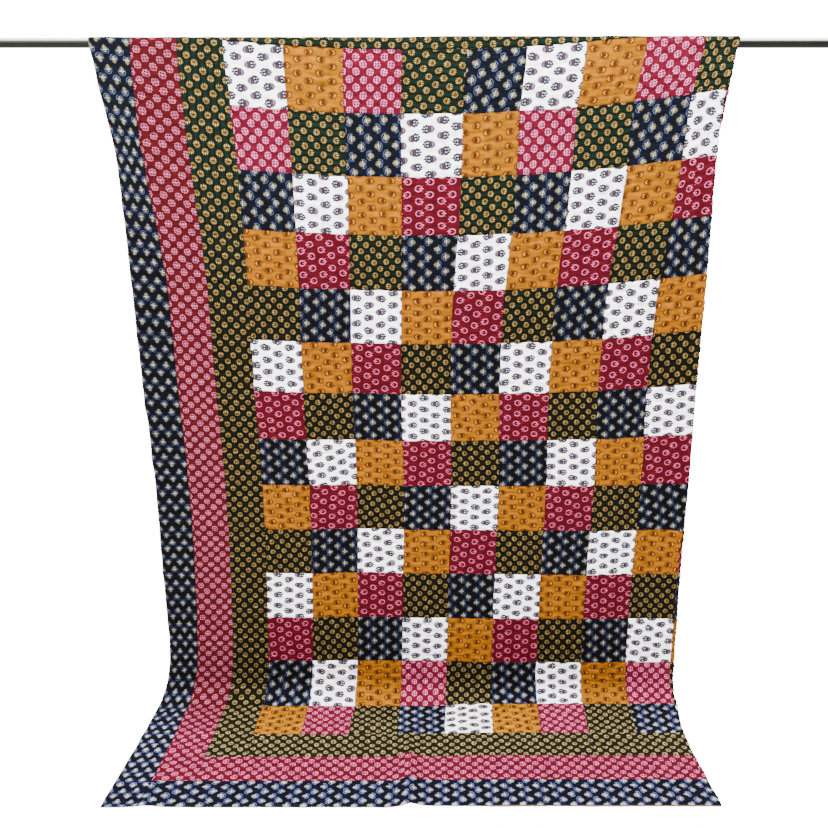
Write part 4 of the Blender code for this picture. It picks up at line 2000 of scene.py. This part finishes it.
@dataclass
class Backing:
    """The plain back of the quilt, turned round its edge under the printed top."""

    tailor: Tailor
    grid: Grid
    finish: PlainCotton
    cell_across: float = 0.024
    overhang: float = 0.0018
    lap: float = 0.006
    thickness: float = 0.0012
    edge_steps: int = 5
    pucker: float = 0.0005
    pucker_stray: float = 0.4
    groove_shade: float = 0.6
    fold_steps: int = 11
    fold_insets: Range = (0.006, 0.002)
    map_margin: float = 0.01

    def edge_path(self) -> list[Range]:
        """Follow the turned edge of the backing round the printed top.

        Returns:
            How far outside the quilt's edge each step is, and how high over its inner side.
        """
        middle = self.thickness / 2
        round_it = [
            (self.overhang - middle + middle * math.sin(turn), middle - middle * math.cos(turn))
            for turn in np.linspace(0.0, math.pi, self.edge_steps)
        ]
        return [(0.0, 0.0), *round_it, (-self.lap, self.thickness)]

    def fold_lines(self, along: np.ndarray) -> np.ndarray:
        """Add lines that follow the right-hand fold down the cloth.

        Args:
            along: the lines along the cloth.

        Returns:
            Places across, one row for each line along.
        """
        start = self.tailor.drape.fold_start(along)
        length = self.tailor.drape.fold_length
        before = [-inset for inset in self.fold_insets]
        after = [length + inset for inset in reversed(self.fold_insets)]
        offsets = np.concatenate([before, np.linspace(0.0, length, self.fold_steps), after])
        return start[:, None] + offsets[None, :]

    def layout(self) -> tuple[Sheet, np.ndarray]:
        """Lay out the grid of cloth points, with the turned edge all round.

        Returns:
            The sheet, and how high the turned edge lifts each point, 0 on the open cloth.
        """
        cut = self.tailor.cut
        along = self.grid.along_from(cut.top + self.lap, cut.bottom - self.lap)
        outside, lift = np.array(self.edge_path()).T
        steps = round(cut.width / self.cell_across)
        even = down_all(np.linspace(0.0, cut.width, steps + 1)[1:-1], len(along))
        middle = np.sort(np.concatenate([even, self.fold_lines(along)], axis=1), axis=1)
        left = down_all(-outside[::-1], len(along))
        right = down_all(cut.width + outside, len(along))
        across = np.concatenate([left, middle, right], axis=1)
        over = down_all(across[0], len(outside))
        under = down_all(across[-1], len(outside))
        across = np.concatenate([over, across, under], axis=0)
        levels = np.concatenate([cut.top - outside[::-1], along, cut.bottom + outside])
        side_lift = np.concatenate([lift[::-1], np.zeros(middle.shape[1]), lift])
        end_lift = np.concatenate([lift[::-1], np.zeros(len(along)), lift])
        turned = np.maximum(side_lift[None, :], end_lift[:, None])
        return Sheet.cut_out("quilt_backing", across, levels), turned

    def build(self) -> bpy.types.Object:
        """Make the backing.

        Returns:
            The piece.
        """
        cut = self.tailor.cut
        quilting = self.tailor.quilting
        sheet, turned = self.layout()
        inside = turned == 0
        rows = quilting.row_groove(cut.stitch_row(sheet.along))
        stray = self.pucker_stray * quilting.broad(sheet.across, sheet.along)
        puckers = inside * self.pucker * np.maximum(rows + stray, 0.0)
        points = self.tailor.lay(sheet, turned + puckers)
        # Painted shade: stitch rows get a share, and the turned edge all round gets the full share,
        # which the backing's finish turns into the painted hem shadow.
        painted_shade = np.where(inside, rows * self.groove_shade, 1.0)
        margin = self.map_margin
        low = np.array([-margin, cut.top - margin])
        size = np.array([cut.width, cut.bottom - cut.top]) + 2 * margin
        laid = np.stack(sheet.corners, axis=-1)
        maps = {"OFBake": (laid - low) / size, "cloth": self.tailor.cloth_map(sheet)}
        piece = self.tailor.mesh(sheet, points, painted_shade, maps, inward=True)
        piece.data.materials.append(self.finish.build())
        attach(piece, BODY)
        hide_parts("backing")
        return piece


@dataclass
class HangingRod:
    """The plain round rod that the quilt hangs over."""

    finish: DarkMetal
    sides: int = 96
    chamfer: float = 0.0012
    chamfer_steps: int = 5
    rings: int = 33
    end_share: float = 0.02
    sharp_angle: float = 35.0

    def build(self) -> bpy.types.Object:
        """Make the rod as a turned bar with rounded end corners.

        Returns:
            The piece.
        """
        low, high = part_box("rod")
        middle = (low + high) / 2
        radius = (high.z - low.z) / 2
        half = (high.x - low.x) / 2
        end = [
            (half - self.chamfer * (1 - math.sin(turn)), radius - self.chamfer * (1 - math.cos(turn)))
            for turn in np.linspace(0, math.pi / 2, self.chamfer_steps)
        ]
        shares = np.linspace(self.end_share, 1 - self.end_share, self.rings)
        profile = [(-x, r) for x, r in reversed(end)]
        profile += [(-half + share * 2 * half, radius) for share in shares] + end
        turns = [2 * math.pi * step / self.sides for step in range(self.sides)]
        form = bmesh.new()
        rings = [
            [form.verts.new((x, r * math.cos(turn), r * math.sin(turn))) for turn in turns]
            for x, r in profile
        ]
        for ring, following in zip(rings, rings[1:]):
            for step in range(self.sides):
                after = (step + 1) % self.sides
                form.faces.new((ring[step], ring[after], following[after], following[step]))
        form.faces.new(list(reversed(rings[0])))
        form.faces.new(rings[-1])
        bmesh.ops.recalc_face_normals(form, faces=form.faces)
        mesh = bpy.data.meshes.new("hanging_rod")
        form.to_mesh(mesh)
        form.free()
        mesh.transform(Matrix.Translation(middle))
        mesh.shade_smooth()
        mesh.set_sharp_from_angle(angle=math.radians(self.sharp_angle))
        mesh.materials.append(self.finish.build())
        rod = put_in_scene("hanging_rod", mesh)
        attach(rod, BODY)
        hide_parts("rod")
        return rod


# The studio


@dataclass(frozen=True)
class Lamp:
    """A soft rectangular lamp, its power in watts."""

    name: str
    place: Point
    aim: Point
    size: Range
    power: float

    def build(self) -> bpy.types.Object:
        """Hang the lamp.

        Returns:
            The lamp.
        """
        data = bpy.data.lights.new(self.name, "AREA")
        data.shape = "RECTANGLE"
        data.size, data.size_y = self.size
        data.energy = self.power
        lamp = put_in_scene(self.name, data)
        lamp.location = self.place
        way = Vector(self.aim) - Vector(self.place)
        lamp.rotation_euler = way.to_track_quat("-Z", "Y").to_euler()
        return lamp


@dataclass(frozen=True)
class Studio:
    """A plain pale floor and soft light."""

    floor_size: float = 60.0
    floor_drop: float = 0.0004
    floor_white: float = 0.92
    floor_rough: float = 0.9
    floor_seen: float = 18.0
    white: Colour = (1.0, 1.0, 1.0)
    sky: float = 1.7
    sky_seen: float = 22.0
    lamps: tuple[Lamp, ...] = (
        Lamp("key", (-2.8, -3.4, 3.4), (0.0, 0.2, 1.0), (2.0, 2.0), 560.0),
        Lamp("top", (0.4, -1.3, 4.4), (0.0, -0.1, 0.0), (3.0, 1.4), 620.0),
    )

    def floor(self) -> bpy.types.Object:
        """Lay the floor.

        Returns:
            The floor.
        """
        mesh = bpy.data.meshes.new("studio_floor")
        half = self.floor_size / 2
        corners = [(-half, -half, 0.0), (half, -half, 0.0), (half, half, 0.0), (-half, half, 0.0)]
        mesh.from_pydata(corners, [], [(0, 1, 2, 3)])
        floor = put_in_scene("studio_floor", mesh)
        floor.location.z = -self.floor_drop
        graph = Graph("studio floor")
        graph.surface("Base Color", (self.floor_white,) * 3)
        graph.surface("Roughness", self.floor_rough)
        graph.surface("Specular IOR Level", 0.0)
        graph.surface("Emission Color", self.white)
        seen = graph.tree.nodes.new("ShaderNodeLightPath").outputs["Is Camera Ray"]
        graph.surface("Emission Strength", graph.number("MULTIPLY", seen, self.floor_seen))
        mesh.materials.append(graph.material)
        return floor

    def surround(self) -> None:
        """Fill the room with even white light."""
        world = bpy.data.worlds.new("studio")
        world.use_nodes = True
        bpy.context.scene.world = world
        tree = world.node_tree
        light = tree.nodes["Background"]
        light.inputs["Color"].default_value = (*self.white, 1.0)
        seen = tree.nodes.new("ShaderNodeLightPath").outputs["Is Camera Ray"]
        level = tree.nodes.new("ShaderNodeMapRange")
        tree.links.new(seen, level.inputs["Value"])
        level.inputs["To Min"].default_value = self.sky
        level.inputs["To Max"].default_value = self.sky_seen
        tree.links.new(level.outputs[0], light.inputs["Strength"])

    def build(self) -> None:
        """Make the floor, the surround and the lamps."""
        self.floor()
        self.surround()
        for lamp in self.lamps:
            lamp.build()


@dataclass(frozen=True)
class Viewpoint:
    """The camera, at the photograph's angle."""

    lens: float = 41.13
    sensor: float = 36.0
    distance: float = 2.550
    height: float = 1.816
    tilt: float = 0.3283
    cloth_depth: float = 0.004
    sight: float = 200.0

    def build(self, drape: Drape) -> bpy.types.Object:
        """Set up the camera in front of the quilt.

        Args:
            drape: where the quilt hangs.

        Returns:
            The camera.
        """
        data = bpy.data.cameras.new("camera")
        data.lens = self.lens
        data.sensor_width = self.sensor
        data.clip_end = self.sight
        camera = put_in_scene("camera", data)
        front = drape.rod_depth - drape.rod_radius - self.cloth_depth
        camera.location = (0.0, front - self.distance, self.height)
        camera.rotation_euler = (math.pi / 2 - self.tilt, 0.0, 0.0)
        bpy.context.scene.camera = camera
        return camera


def main() -> None:
    """Build the quilt, its rod, the studio and the camera, and report each piece."""
    logging.basicConfig(level=logging.INFO, format="%(name)s: %(message)s")
    rod_low, rod_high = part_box("rod")
    rod_middle = (rod_low + rod_high) / 2
    cut = Cut()
    drape = Drape(cut, rod_depth=rod_middle.y, rod_height=rod_middle.z)
    Viewpoint().build(drape)
    tailor = Tailor(cut, drape, Quilting(cut))
    grid = Grid(cut, drape)
    cottons = {fabric: PrintedCotton(fabric.value, cut).build() for fabric in Fabric}
    sewn = Patchwork(tailor, grid, cottons).build()
    borders = (("green", Fabric.GREEN), ("red", Fabric.DULL_RED), ("navy", Fabric.NAVY))
    for inner, (colour, fabric) in enumerate(borders):
        sewn += Border(tailor, grid, colour, inner, cottons[fabric]).build()
    backing = Backing(tailor, grid, PlainCotton(cut)).build()
    rod = HangingRod(DarkMetal(rod_middle.z)).build()
    for piece in [*sewn, backing, rod]:
        log.info("%s: %d faces", piece.name, len(piece.data.polygons))
    Studio().build()


if __name__ == "__main__":
    main()
